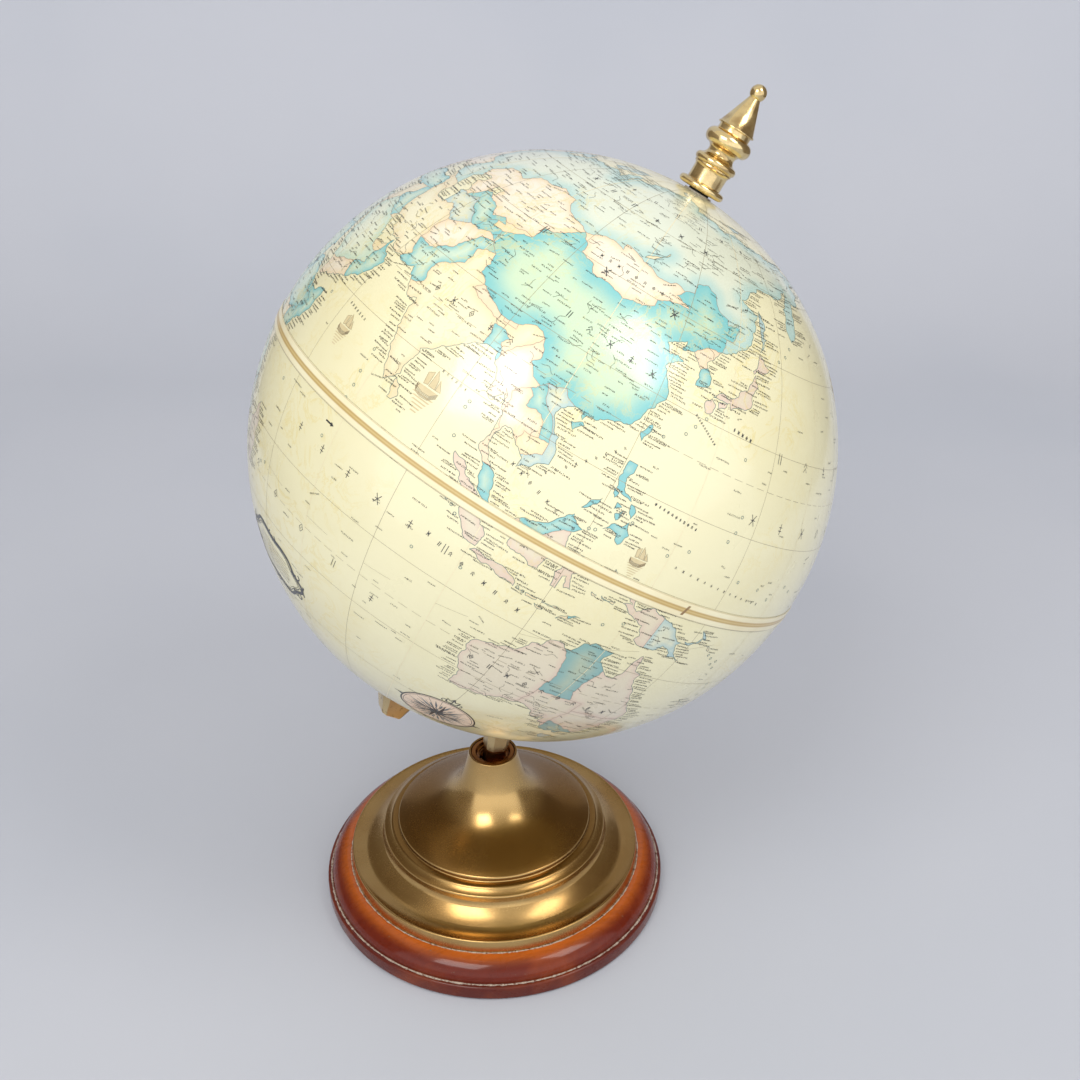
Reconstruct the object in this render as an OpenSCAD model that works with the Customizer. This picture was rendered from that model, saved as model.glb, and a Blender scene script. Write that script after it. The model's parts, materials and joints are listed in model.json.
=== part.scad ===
// Desktop globe on a turned wooden base with a spun brass cover.
// The origin is the middle of the felt pad's underside, with +Z up.
// The polar axis leans towards +X.

/* [Globe] */
// Radius over the printed map
globe_r = 152.4; // [140:1:165]
// Height of the globe's centre above the table
globe_height = 290; // [285:1:305]
// Angle between the polar axis and the arm's stem
axis_tilt = 23.5; // [20:0.5:26]
// Angle between the arm's stem and upright, as it stands in the neck
stem_lean = 8.6; // [2:0.2:9]
// Thickness of the pressed board shells
shell_wall = 1.6; // [1.2:0.1:2.5]
// Thickness of the printed map and its varnish
map_thick = 0.4; // [0.3:0.1:0.6]
// Width of the tape round the equator
band_width = 8; // [3:0.2:9]

/* [Base] */
// Radius of the wooden base
wood_r = 103.6; // [98:0.2:115]
// Height of the flat that the brass cover stands on
wood_top = 21.2; // [19:0.2:22]
// Radius of the cover where it meets the wood
cover_r = 88; // [86:0.2:89]
// Height of the neck's rim
neck_height = 95.6; // [94:0.2:97]
// Wall of the spun cover
cover_wall = 1.2; // [0.8:0.1:1.6]
// Radius of the felt pad
felt_r = 92; // [80:1:96]
// Thickness of the felt pad
felt_thick = 1.4; // [1:0.1:2]

/* [Arm] */
// Gap between the map and the inside of the arm
arm_gap = 7; // [7:0.5:10]
// Radial thickness of the arm between its bosses
arm_thick = 9; // [7:0.5:11]
// Width of the arm on the side next to the globe
arm_width = 15; // [12:0.5:18]
// How far the pole boss stands out from the map
pole_boss_reach = 23; // [22:0.5:28]

/* [Hidden] */
$fn = 96;

// Longer than any part that a hole or a slot has to pass through
through = 40;

// Lean hinge
pivot_z = 88;
pivot_to_globe = (globe_height - pivot_z) / cos(stem_lean);
pin_r = 1.5;
pin_half = 8;
pin_fit = 0.06;
tang_half_thick = 3;
tang_into_collar = 0.4;
tang_r = 6;
tang_top = 9.2;
collar_top = 11;
collar_r = 6.2;
stud_r = 4;
stud_into_collar = 0.5;
stud_top = 26;
hole_end = 0.5;

// Neck insert, bush and tie rod
rod_r = 3;
rod_clear = 0.5;
rod_bottom = 1.8;
rod_top = 73;
thread_fit = 0.02;
insert_bottom = 62;
insert_floor = 76;
insert_r = 11.3;
insert_flange_r = 12.9;
insert_flange_z = 93.2;
insert_top = 95;
insert_bore_r = 8.65;
insert_bead = 0.8;
snap_groove_r = 9.6;
snap_groove_z = 91.3;
snap_groove_wide = 1.2;
snap_out_r = 9.5;
snap_in_r = 7.7;
snap_thick = 1;
snap_gap = 2;
friction_r = 8.3;
bush_r = 8.6;
bush_bottom = 78;
bush_top = 91.2;
bush_dish_r = 7.6;
bush_dish_deep = 1.2;
slot_half = 3.05;
slot_floor = 81.2;
ledge_thick = 1.2;
ledge_hole_r = 11.4;
rim_r = 0.65;
rim_in_r = 13.1;

// Ballast and fasteners under the base
wood_bottom = 0.6;
recess_r = 71;
recess_top = 12;
felt_gap = 0.2;
wood_edge_r = 1.2;
groove_r = 101.2;
groove_z = 10.2;
ballast_r = 70;
ballast_counterbore_r = 12;
ballast_bottom = 3;
ballast_web_z = 9.5;
flat_washer_r = 9;
lock_washer_r = 5.4;
washer_clear = 0.2;
washer_thick = 1.2;
lock_thick = 1.5;
nut_thick = 5;
nut_flats = 10;

// Axle and its hardware
axle_r = 4;
axle_fit = 0.06;
grommet_r = 7.5;
grommet_flange_r = 11;
grommet_flange_thick = 1.6;
grommet_tail = 6;
grommet_proud = 0.3;
washer_gap = 0.05;
thrust_r = 9;
thrust_thick = 1.5;
thrust_top = globe_r + grommet_proud + washer_gap;
nut_gap = 0.4;
axle_nut_thick = arm_gap - grommet_proud - washer_gap - thrust_thick - nut_gap;
axle_nut_flats = 13;
north_washer_r = 5.5;
north_washer_thick = 0.9;
finial_base = globe_r + 1.3;
axle_top = globe_r + 22;
axle_bottom = globe_r + 20;
shell_r = globe_r - map_thick;
shell_in = shell_r - shell_wall;
hoop_r = shell_in - 0.6;
hoop_wall = 1.4;
hoop_half = 12;
seam_gap = 0.05;
band_proud = 0.35;

// Cast bosses at the two ends of the arm
pole_boss_top = 24;
pole_boss_end = 12.6;
pole_boss_shift = 3;
stem_boss_top = 17;
stem_boss_end = 13;
boss_slice = 0.02;
bar_taper = 2;

function arc(cx, cy, r, from, to, n) =
    [for (i = [0:n]) let (a = from + (to - from) * i / n) [cx + r * cos(a), cy + r * sin(a)]];

function bezier(a, b, c, d, n) =
    [for (i = [0:n]) let (t = i / n, s = 1 - t)
        s * s * s * a + 3 * s * s * t * b + 3 * s * t * t * c + t * t * t * d];

// Points of an open line moved sideways by d, to the right of its direction
function shifted(line, d) =
    [for (i = [0:len(line) - 1])
        let (a = line[max(i - 1, 0)], b = line[min(i + 1, len(line) - 1)])
        let (v = b - a, u = v / norm(v))
        line[i] + d * [u[1], -u[0]]];

function reversed(line) = [for (i = [len(line) - 1:-1:0]) line[i]];

// Outside of the brass cover, from the neck down to the lip's foot
cover_edge = cover_r - 0.7;
cover_flare = concat(
    bezier([14.4, neck_height - 0.8], [15.8, 88], [17.2, 82], [19.5, 76], 8),
    bezier([19.5, 76], [21.8, 71], [25, 66.5], [30.5, 62.5], 8),
    bezier([30.5, 62.5], [37.5, 57.4], [50, 53.8], [57.6, 49.4], 8)
);
cover_steps = concat(
    arc(57, 48.4, 1.2, 60, 0, 4),
    arc(59, 47, 0.8, 180, 270, 3),
    arc(61, 43.7, 2.5, 90, 30, 4),
    arc(66, 42.1, 1.2, 75, 0, 4)
);
cover_bowl = concat(
    bezier([67.2, 39.5], [68.2, 34.5], [72.5, 30], [79, 28.4], 10),
    arc(cover_edge - 0.8, 27.9, 0.8, 140, 0, 5),
    [[cover_r, wood_top + 0.8], [cover_r, wood_top]]
);
cover_outside = concat(cover_flare, cover_steps, cover_bowl);

// Places a piece in the frame of the arm: the globe's centre, with -Z along the stem
module at_globe() {
    translate([0, 0, pivot_z])
        rotate([0, stem_lean, 0])
            translate([0, 0, pivot_to_globe])
                children();
}

// Places a piece on the polar axis, with +Z towards the north pole
module on_axis() {
    at_globe()
        rotate([0, axis_tilt, 0])
            children();
}

// Places a piece at the lean hinge, with +Z up the stem
module at_pivot() {
    translate([0, 0, pivot_z])
        rotate([0, stem_lean, 0])
            children();
}

module ring(r_out, r_in, bottom, height) {
    translate([0, 0, bottom])
        difference() {
            cylinder(r = r_out, h = height);
            translate([0, 0, -1]) cylinder(r = r_in, h = height + 2);
        }
}

module hex_nut(flats, thick, hole_r) {
    difference() {
        cylinder(d = flats / cos(30), h = thick, $fn = 6);
        translate([0, 0, -1]) cylinder(r = hole_r, h = thick + 2);
    }
}

// Square with cut corners, the section of the arm's cast bosses
module boss_section(size, cut) {
    h = size / 2;
    linear_extrude(boss_slice)
        polygon([
            [h, h - cut], [h - cut, h], [cut - h, h], [-h, h - cut],
            [-h, cut - h], [cut - h, -h], [h - cut, -h], [h, cut - h]
        ]);
}

module felt_pad() {
    color("darkolivegreen") cylinder(r = felt_r, h = felt_thick);
}

module wood_base() {
    outline = concat(
        [[0, wood_bottom]],
        arc(wood_r - wood_edge_r, wood_bottom + wood_edge_r, wood_edge_r, -90, 0, 4),
        arc(wood_r - 1.4, 8.2, 1.4, 0, 90, 4),
        arc(groove_r, groove_z, 0.6, 270, 180, 3),
        bezier([groove_r - 0.6, groove_z + 0.6], [100.3, 17], [93.5, 21.1], [89, wood_top], 10),
        [[0, wood_top]]
    );
    color("saddlebrown")
        difference() {
            rotate_extrude() polygon(outline);
            translate([0, 0, -1]) cylinder(r = felt_r + felt_gap, h = felt_thick + 1);
            translate([0, 0, -1]) cylinder(r = recess_r, h = recess_top + 1);
            cylinder(r = rod_r + rod_clear, h = through);
        }
}

module ballast_plate() {
    color("dimgray")
        difference() {
            translate([0, 0, ballast_bottom])
                cylinder(r = ballast_r, h = recess_top - ballast_bottom);
            cylinder(r = ballast_counterbore_r, h = ballast_web_z);
            cylinder(r = rod_r + rod_clear, h = through);
        }
}

module spun_cover() {
    inside = shifted(cover_outside, cover_wall);
    lower = [for (p = inside) if (p[1] < insert_flange_z - ledge_thick) p];
    last = lower[len(lower) - 1];
    neck_in = lower[0][0];
    outline = concat(
        arc(rim_in_r + rim_r, neck_height - rim_r, rim_r, 180, 10, 5),
        cover_outside,
        [[last[0], wood_top]],
        reversed(lower),
        [
            [neck_in, insert_flange_z - ledge_thick],
            [ledge_hole_r, insert_flange_z - ledge_thick],
            [ledge_hole_r, insert_flange_z],
            [rim_in_r, insert_flange_z]
        ]
    );
    color("darkgoldenrod") rotate_extrude() polygon(outline);
}

module tie_rod() {
    color("silver")
        translate([0, 0, rod_bottom])
            cylinder(r = rod_r, h = rod_top - rod_bottom);
}

module tie_rod_nut() {
    color("silver")
        translate([0, 0, rod_bottom])
            hex_nut(nut_flats, nut_thick, rod_r + thread_fit);
}

module lock_washer() {
    color("gray")
        ring(lock_washer_r, rod_r + washer_clear, rod_bottom + nut_thick, lock_thick);
}

module flat_washer() {
    color("silver")
        ring(flat_washer_r, rod_r + washer_clear, rod_bottom + nut_thick + lock_thick, washer_thick);
}

module neck_insert() {
    groove_top = snap_groove_z + snap_groove_wide;
    outline = concat(
        [[0, insert_bottom], [insert_r - insert_bead, insert_bottom]],
        [[insert_r, insert_bottom + insert_bead]],
        [[insert_r, insert_flange_z], [insert_flange_r, insert_flange_z]],
        arc(insert_flange_r - insert_bead, insert_top - insert_bead, insert_bead, 0, 90, 4),
        [[10.4, insert_top], [9.4, 93.6], [insert_bore_r, insert_flange_z]],
        [[insert_bore_r, groove_top], [snap_groove_r, groove_top]],
        [[snap_groove_r, snap_groove_z], [insert_bore_r, snap_groove_z]],
        [[insert_bore_r, insert_floor], [0, insert_floor]]
    );
    color("peru")
        difference() {
            rotate_extrude() polygon(outline);
            translate([0, 0, insert_bottom - 1])
                cylinder(r = rod_r + thread_fit, h = rod_top - insert_bottom + 1 + hole_end);
        }
}

module snap_ring() {
    color("dimgray")
        difference() {
            ring(snap_out_r, snap_in_r, snap_groove_z + 0.1, snap_thick);
            translate([-snap_out_r - 1, -snap_gap / 2, snap_groove_z])
                cube([snap_out_r - snap_in_r + 2, snap_gap, 2]);
        }
}

module friction_washer() {
    color("ivory")
        ring(friction_r, rod_r + washer_clear, insert_floor,
            bush_bottom - insert_floor - washer_gap);
}

module swivel_bush() {
    color("sienna")
        difference() {
            translate([0, 0, bush_bottom])
                cylinder(r = bush_r, h = bush_top - bush_bottom);
            translate([0, 0, bush_top - bush_dish_deep])
                cylinder(r1 = bush_dish_r - bush_dish_deep, r2 = bush_dish_r, h = bush_dish_deep + 0.01);
            translate([-through / 2, -slot_half, slot_floor])
                cube([through, 2 * slot_half, through]);
            translate([0, through / 2, pivot_z])
                rotate([90, 0, 0])
                    cylinder(r = pin_r + thread_fit, h = through);
        }
}

module lean_pin() {
    color("silver")
        translate([0, pin_half, pivot_z])
            rotate([90, 0, 0])
                cylinder(r = pin_r, h = 2 * pin_half);
}

module lean_knuckle() {
    color("gray")
        at_pivot()
            difference() {
                union() {
                    translate([0, tang_half_thick, 0])
                        rotate([90, 0, 0])
                            cylinder(r = tang_r, h = 2 * tang_half_thick);
                    translate([-tang_r, -tang_half_thick, 0])
                        cube([2 * tang_r, 2 * tang_half_thick, tang_top + tang_into_collar]);
                    translate([0, 0, tang_top])
                        cylinder(r = collar_r, h = collar_top - tang_top);
                    translate([0, 0, collar_top - stud_into_collar])
                        cylinder(r = stud_r, h = stud_top - collar_top + stud_into_collar);
                }
                translate([0, through / 2, 0])
                    rotate([90, 0, 0])
                        cylinder(r = pin_r + pin_fit, h = through);
            }
}

// Curved bar between the two bosses, round the globe's centre
module arm_bar() {
    inner = globe_r + arm_gap;
    outer = inner + arm_thick;
    half_in = arm_width / 2;
    half_out = half_in - bar_taper;
    rotate([90, 0, 0])
        rotate([0, 0, -90 - axis_tilt])
            rotate_extrude(angle = axis_tilt)
                polygon([
                    [inner, -half_in], [outer - 1, -half_out - 0.4], [outer, 0.8 - half_out],
                    [outer, half_out - 0.8], [outer - 1, half_out + 0.4], [inner, half_in]
                ]);
}

module arm() {
    stem_end = collar_top - pivot_to_globe;
    color("goldenrod")
        difference() {
            union() {
                at_globe() arm_bar();
                on_axis()
                    hull() {
                        translate([0, 0, -(globe_r + arm_gap)]) boss_section(pole_boss_top, 4);
                        translate([pole_boss_shift, 0, -(globe_r + pole_boss_reach)])
                            boss_section(pole_boss_end, 2);
                    }
                at_globe()
                    hull() {
                        translate([0, 0, -(globe_r + arm_gap)]) boss_section(stem_boss_top, 4);
                        translate([0, 0, stem_end]) boss_section(stem_boss_end, 3);
                    }
            }
            at_pivot()
                cylinder(r = stud_r + thread_fit, h = stud_top + hole_end);
            on_axis()
                translate([0, 0, -(axle_bottom + hole_end)])
                    cylinder(r = axle_r + thread_fit, h = through);
        }
}

module axle() {
    color("silver")
        on_axis()
            translate([0, 0, -axle_bottom])
                cylinder(r = axle_r, h = axle_bottom + axle_top);
}

module thrust_washer() {
    color("ivory")
        on_axis()
            ring(thrust_r, axle_r + thread_fit, -thrust_top - thrust_thick, thrust_thick);
}

module axle_nut() {
    color("silver")
        on_axis()
            translate([0, 0, -thrust_top - thrust_thick - axle_nut_thick])
                hex_nut(axle_nut_flats, axle_nut_thick, axle_r + thread_fit);
}

module north_washer() {
    color("black")
        on_axis()
            ring(north_washer_r, axle_r + thread_fit, finial_base - north_washer_thick,
                north_washer_thick);
}

module finial() {
    outline = concat(
        [[0, 0]],
        arc(10.4, 1.9, 1.9, -90, 90, 8),
        [[9, 4.2], [9, 10.2]],
        arc(11.5, 10.2, 2.5, 180, 125, 4),
        arc(8.9, 14.9, 2.2, -60, 75, 8),
        bezier([9.4, 17], [6.4, 18], [6.4, 22], [9.2, 22.7], 8),
        arc(8.1, 26.4, 4.1, -66, 66, 10),
        [[8.6, 30.8], [8.6, 33], [9.4, 33]],
        arc(9.3, 33.6, 0.5, -60, 60, 3),
        [[9.2, 34.3], [2.9, 50.2]],
        arc(0, 53.2, 4.2, -46, 90, 9)
    );
    color("goldenrod")
        on_axis()
            translate([0, 0, finial_base])
                difference() {
                    rotate_extrude() polygon(outline);
                    translate([0, 0, -1])
                        cylinder(r = axle_r + thread_fit, h = axle_top - finial_base + 1 + hole_end);
                }
}

// Upper half of a hollow ball, just clear of the equator, with a hole at its pole
module half_ball(r_out, r_in) {
    difference() {
        sphere(r = r_out);
        sphere(r = r_in);
        translate([0, 0, seam_gap - r_out - 1])
            cube(2 * r_out + 2, center = true);
        cylinder(r = grommet_r, h = r_out + 2);
    }
}

// Turns an upper half over, so that it closes the ball from below
module lower_half() {
    rotate([180, 0, 0]) children();
}

module north_shell() {
    color("tan") on_axis() half_ball(shell_r, shell_in);
}

module south_shell() {
    color("tan") on_axis() lower_half() half_ball(shell_r, shell_in);
}

module seam_hoop() {
    color("burlywood")
        on_axis() ring(hoop_r, hoop_r - hoop_wall, -hoop_half, 2 * hoop_half);
}

module grommet() {
    difference() {
        union() {
            translate([0, 0, shell_in - grommet_tail])
                cylinder(r = grommet_r, h = globe_r + grommet_proud - shell_in + grommet_tail);
            translate([0, 0, shell_in - 0.6 - grommet_flange_thick])
                cylinder(r = grommet_flange_r, h = grommet_flange_thick);
        }
        cylinder(r = axle_r + axle_fit, h = globe_r + through);
    }
}

module north_grommet() {
    color("dimgray") on_axis() grommet();
}

module south_grommet() {
    color("dimgray") on_axis() lower_half() grommet();
}

module map_north() {
    color("cornsilk") on_axis() half_ball(globe_r, shell_r);
}

module map_south() {
    color("cornsilk") on_axis() lower_half() half_ball(globe_r, shell_r);
}

module equator_band() {
    color("khaki")
        on_axis()
            difference() {
                intersection() {
                    sphere(r = globe_r + band_proud);
                    cube([2.2 * globe_r, 2.2 * globe_r, band_width], center = true);
                }
                sphere(r = globe_r);
            }
}

felt_pad();
wood_base();
ballast_plate();
spun_cover();
tie_rod();
tie_rod_nut();
flat_washer();
lock_washer();
neck_insert();
snap_ring();
friction_washer();
swivel_bush();
lean_pin();
lean_knuckle();
arm();
axle();
axle_nut();
thrust_washer();
north_washer();
finial();
north_shell();
south_shell();
seam_hoop();
north_grommet();
south_grommet();
map_north();
map_south();
equator_band();
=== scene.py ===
import json
import math
import random

import bpy
import bmesh
import numpy as np
from mathutils import Matrix, Vector
from mathutils.geometry import delaunay_2d_cdt
from mathutils.kdtree import KDTree


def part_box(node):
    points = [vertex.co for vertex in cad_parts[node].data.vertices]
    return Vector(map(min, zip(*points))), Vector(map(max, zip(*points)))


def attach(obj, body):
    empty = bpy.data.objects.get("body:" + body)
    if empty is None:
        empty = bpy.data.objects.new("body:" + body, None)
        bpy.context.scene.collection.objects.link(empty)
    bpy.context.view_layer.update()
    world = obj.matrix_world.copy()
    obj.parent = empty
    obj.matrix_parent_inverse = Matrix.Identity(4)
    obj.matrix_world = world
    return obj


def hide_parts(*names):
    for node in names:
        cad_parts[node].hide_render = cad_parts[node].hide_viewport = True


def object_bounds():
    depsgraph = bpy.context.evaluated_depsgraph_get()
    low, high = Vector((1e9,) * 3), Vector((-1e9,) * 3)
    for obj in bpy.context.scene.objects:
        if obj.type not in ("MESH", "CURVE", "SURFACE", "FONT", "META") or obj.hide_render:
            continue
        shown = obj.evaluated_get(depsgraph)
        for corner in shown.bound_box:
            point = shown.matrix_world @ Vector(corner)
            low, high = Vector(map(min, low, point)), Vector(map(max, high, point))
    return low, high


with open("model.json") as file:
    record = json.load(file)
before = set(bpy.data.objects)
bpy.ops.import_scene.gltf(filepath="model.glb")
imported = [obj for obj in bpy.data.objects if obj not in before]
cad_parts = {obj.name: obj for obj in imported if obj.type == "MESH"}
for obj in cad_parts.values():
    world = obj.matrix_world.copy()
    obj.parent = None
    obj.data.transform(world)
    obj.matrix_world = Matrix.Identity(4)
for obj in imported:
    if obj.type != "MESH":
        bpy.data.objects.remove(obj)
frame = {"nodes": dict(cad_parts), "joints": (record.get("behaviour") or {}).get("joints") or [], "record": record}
CAD_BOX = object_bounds()

# ---------------------------------------------------------------- sizes and places
MM = 0.001
JOINTS = {j["name"]: j for j in frame["joints"]}
GLOBE_CENTRE = Vector(JOINTS["ball_spin"]["pos_m"])
POLE = Vector(JOINTS["ball_spin"]["axis"]).normalized()
BALL_R = 152.4  # mm, as the CAD has it
GLOBE_R = BALL_R - 0.13  # leaves room for the layers of print
INK_LIFT = 0.04  # mm between the print's layers
PRIME_MERIDIAN = math.radians(42.9)  # how far the ball has been spun
WOOD_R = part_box("wood_base")[1].x / MM
WOOD_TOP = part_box("wood_base")[1].z / MM
GROOVE_R = 101.2  # mm, the groove round the wood
COVER_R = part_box("spun_cover")[1].x / MM
NECK_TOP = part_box("spun_cover")[1].z / MM


def basis(x, y, z, origin):
    """A frame with those axes at that origin."""
    m = Matrix((x, y, z)).transposed().to_4x4()
    m.translation = origin
    return m


def ball_frame():
    """Ball coordinates: +X at longitude 0 on the equator, +Z at the north pole."""
    side = Vector((0, 0, 1)).cross(POLE).normalized()
    up = POLE.cross(side)
    x = side * math.cos(PRIME_MERIDIAN) + up * math.sin(PRIME_MERIDIAN)
    return basis(x, POLE.cross(x), POLE, GLOBE_CENTRE)


def axis_frame(direction, origin):
    """+Z along direction, +Y kept level."""
    x = Vector((0, 1, 0)).cross(direction).normalized()
    return basis(x, Vector((0, 1, 0)), direction, origin)


BALL = ball_frame()
POLAR = axis_frame(POLE, GLOBE_CENTRE)


def srgb(r, g, b):
    """Linear colour from 0 to 255 screen values."""
    def lin(v):
        v /= 255
        return v / 12.92 if v <= 0.04045 else ((v + 0.055) / 1.055) ** 2.4
    return (lin(r), lin(g), lin(b), 1.0)


# ---------------------------------------------------------------- material helpers
MIX_A, MIX_B, MIX_RESULT = 6, 7, 2  # the Mix node's sockets for colours


class Nodes:
    """A node tree, with the few node patterns that the materials and the room share."""

    def __init__(self, tree):
        self.tree = tree

    def node(self, kind, **settings):
        """A new node with those settings."""
        n = self.tree.nodes.new(kind)
        for key, value in settings.items():
            setattr(n, key, value)
        return n

    def link(self, a, b):
        self.tree.links.new(a, b)

    def ramp(self, value, low, high, a=0.0, b=1.0):
        """A smooth step from a to b as value goes from low to high."""
        n = self.node("ShaderNodeMapRange")
        n.interpolation_type = "SMOOTHSTEP"
        for key, v in (("From Min", low), ("From Max", high), ("To Min", a), ("To Max", b)):
            n.inputs[key].default_value = v
        self.link(value, n.inputs["Value"])
        return n.outputs["Result"]

    def math(self, how, *values):
        """One step of arithmetic on sockets or numbers."""
        n = self.node("ShaderNodeMath", operation=how)
        for i, v in enumerate(values):
            if isinstance(v, (int, float)):
                n.inputs[i].default_value = v
            else:
                self.link(v, n.inputs[i])
        return n.outputs[0]

    def mix(self, factor, a, b, how="MIX"):
        """Colour a, mixed with colour b by factor."""
        n = self.node("ShaderNodeMix", data_type="RGBA", blend_type=how)
        if isinstance(factor, (int, float)):
            n.inputs["Factor"].default_value = factor
        else:
            self.link(factor, n.inputs["Factor"])
        for key, v in ((MIX_A, a), (MIX_B, b)):
            if isinstance(v, tuple):
                n.inputs[key].default_value = v
            else:
                self.link(v, n.inputs[key])
        return n.outputs[MIX_RESULT]


class Shader(Nodes):
    """One Principled material, patterned in the piece's own coordinates."""

    def __init__(self, name, base, rough, metallic=0.0, **sockets):
        self.mat = bpy.data.materials.new(name)
        self.mat.use_nodes = True
        super().__init__(self.mat.node_tree)
        self.bsdf = self.tree.nodes["Principled BSDF"]
        self.bsdf.inputs["Base Color"].default_value = base
        self.bsdf.inputs["Roughness"].default_value = rough
        self.bsdf.inputs["Metallic"].default_value = metallic
        for key, value in sockets.items():
            self.bsdf.inputs[key.replace("_", " ")].default_value = value
        self.coord = self.node("ShaderNodeTexCoord").outputs["Object"]

    def noise(self, scale, detail=4.0, rough=0.55, distort=0.0, vector=None):
        """Noise from about 0.3 to 0.7, in the piece's own coordinates unless told otherwise."""
        n = self.node("ShaderNodeTexNoise")
        n.inputs["Scale"].default_value = scale
        n.inputs["Detail"].default_value = detail
        n.inputs["Roughness"].default_value = rough
        n.inputs["Distortion"].default_value = distort
        self.link(vector or self.coord, n.inputs["Vector"])
        return n.outputs["Fac"]

    def colour(self, socket):
        self.link(socket, self.bsdf.inputs["Base Color"])

    def roughness(self, socket):
        self.link(socket, self.bsdf.inputs["Roughness"])

    def bump(self, height, distance, strength=1.0):
        """Surface relief, with its depth in metres."""
        n = self.node("ShaderNodeBump")
        n.inputs["Distance"].default_value = distance
        n.inputs["Strength"].default_value = strength
        self.link(height, n.inputs["Height"])
        self.link(n.outputs["Normal"], self.bsdf.inputs["Normal"])

    def radius(self):
        """Distance from the piece's own Z axis, in metres, and its height."""
        parts = self.node("ShaderNodeSeparateXYZ")
        self.link(self.coord, parts.inputs[0])
        flat = self.math("POWER", parts.outputs["X"], 2.0)
        flat = self.math("ADD", flat, self.math("POWER", parts.outputs["Y"], 2.0))
        return self.math("SQRT", flat), parts.outputs["Z"]


def brass(name, base, dark, rough, speck=0.3, grain=1600.0, pits=0.66, painted_shade=0.0,
          cloudy=20.0):
    """Lacquered brass: cloudy patina, fine dark specks and a faint satin grain. If asked, also
    painted shade: browner where it faces up and less so towards the outer rim, standing in for
    the dark room that the brass reflects."""
    s = Shader(name, base, rough, 1.0)
    cloud = s.ramp(s.noise(cloudy, 3.0, 0.5), 0.38, 0.7, 0.0, 0.55)
    colour = s.mix(cloud, base, dark)
    # Painted shade: brass that faces up turns browner, less so towards the outer rim, standing in for the dark
    # ceiling it reflects.
    if painted_shade:
        split = s.node("ShaderNodeSeparateXYZ")
        s.link(s.node("ShaderNodeNewGeometry").outputs["Normal"], split.inputs[0])
        up = s.ramp(split.outputs["Z"], 0.64, 0.93, 0.0, painted_shade)
        dome = s.ramp(s.radius()[0], 58 * MM, 72 * MM, 1.0, 0.55)
        colour = s.mix(s.math("MULTIPLY", up, dome), colour, srgb(116, 78, 28))
    specks = s.ramp(s.noise(grain * 0.5, 3.0, 0.7), pits, pits + 0.12, 0.0, speck)
    s.colour(s.mix(specks, colour, dark))
    wear = s.math("ADD", s.ramp(s.noise(45.0, 3.0), 0.3, 0.75, rough * 0.9, rough * 1.15),
                  s.ramp(s.noise(grain, 2.0), 0.5, 0.75, 0.0, 0.05))
    s.roughness(wear)
    s.bump(s.noise(grain, 3.0, 0.6), 0.00001, 0.25)
    return s.mat


def plain(name, base, dark, rough, metallic=0.0, scale=120.0, bump=0.00003):
    """A workshop finish for the pieces inside: two close shades, broken up by noise."""
    s = Shader(name, base, rough, metallic)
    s.colour(s.mix(s.ramp(s.noise(scale, 5.0), 0.35, 0.7), base, dark))
    s.roughness(s.ramp(s.noise(scale * 3, 3.0), 0.3, 0.7, rough * 0.85, rough * 1.15))
    s.bump(s.noise(scale * 6, 3.0), bump, 0.4)
    return s.mat


def stained_wood():
    """Honey stain by the brass, darkening to red-brown at the rim, under a satin lacquer."""
    s = Shader("stained_wood", srgb(150, 60, 22), 0.3, Coat_Weight=0.5, Coat_Roughness=0.1,
               Specular_IOR_Level=0.1)
    radius, height = s.radius()
    shade = s.ramp(radius, (COVER_R + 2.0) * MM, (WOOD_R - 6.0) * MM)
    low = s.ramp(height, 9.5 * MM, 12.5 * MM, 1.0, 0.0)
    body = s.mix(shade, srgb(178, 88, 22), srgb(102, 30, 9))
    body = s.mix(low, body, srgb(90, 30, 18))
    stretch = s.node("ShaderNodeMapping")
    stretch.inputs["Scale"].default_value = (1.0, 7.0, 7.0)
    s.link(s.coord, stretch.inputs["Vector"])
    grain = s.noise(55.0, 8.0, 0.65, 0.6, stretch.outputs["Vector"])
    body = s.mix(s.ramp(grain, 0.38, 0.72, 0.0, 0.3), body, srgb(70, 18, 6))
    blotch = s.ramp(s.noise(35.0, 3.0), 0.45, 0.75, 0.0, 0.2)
    body = s.mix(blotch, body, srgb(190, 92, 30))
    nick = s.ramp(s.noise(420.0, 2.0), 0.71, 0.78)
    body = s.mix(s.math("MULTIPLY", nick, 0.7), body, srgb(120, 90, 70))
    s.colour(body)
    s.roughness(s.ramp(s.noise(150.0, 4.0), 0.3, 0.7, 0.22, 0.36))
    dents = s.math("ADD", s.math("MULTIPLY", s.noise(260.0, 3.0), 0.5), s.noise(70.0, 3.0))
    s.bump(dents, 0.00012, 0.3)
    return s.mat


def dust():
    """Pale dust and old polish that has settled in the base's groove."""
    s = Shader("settled_dust", srgb(168, 148, 132), 0.95)
    thin = s.ramp(s.noise(700.0, 4.0, 0.7), 0.45, 0.66)
    s.colour(s.mix(thin, srgb(184, 168, 152), srgb(104, 56, 36)))
    s.bump(s.noise(1500.0, 4.0), 0.0002, 0.8)
    return s.mat


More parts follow.
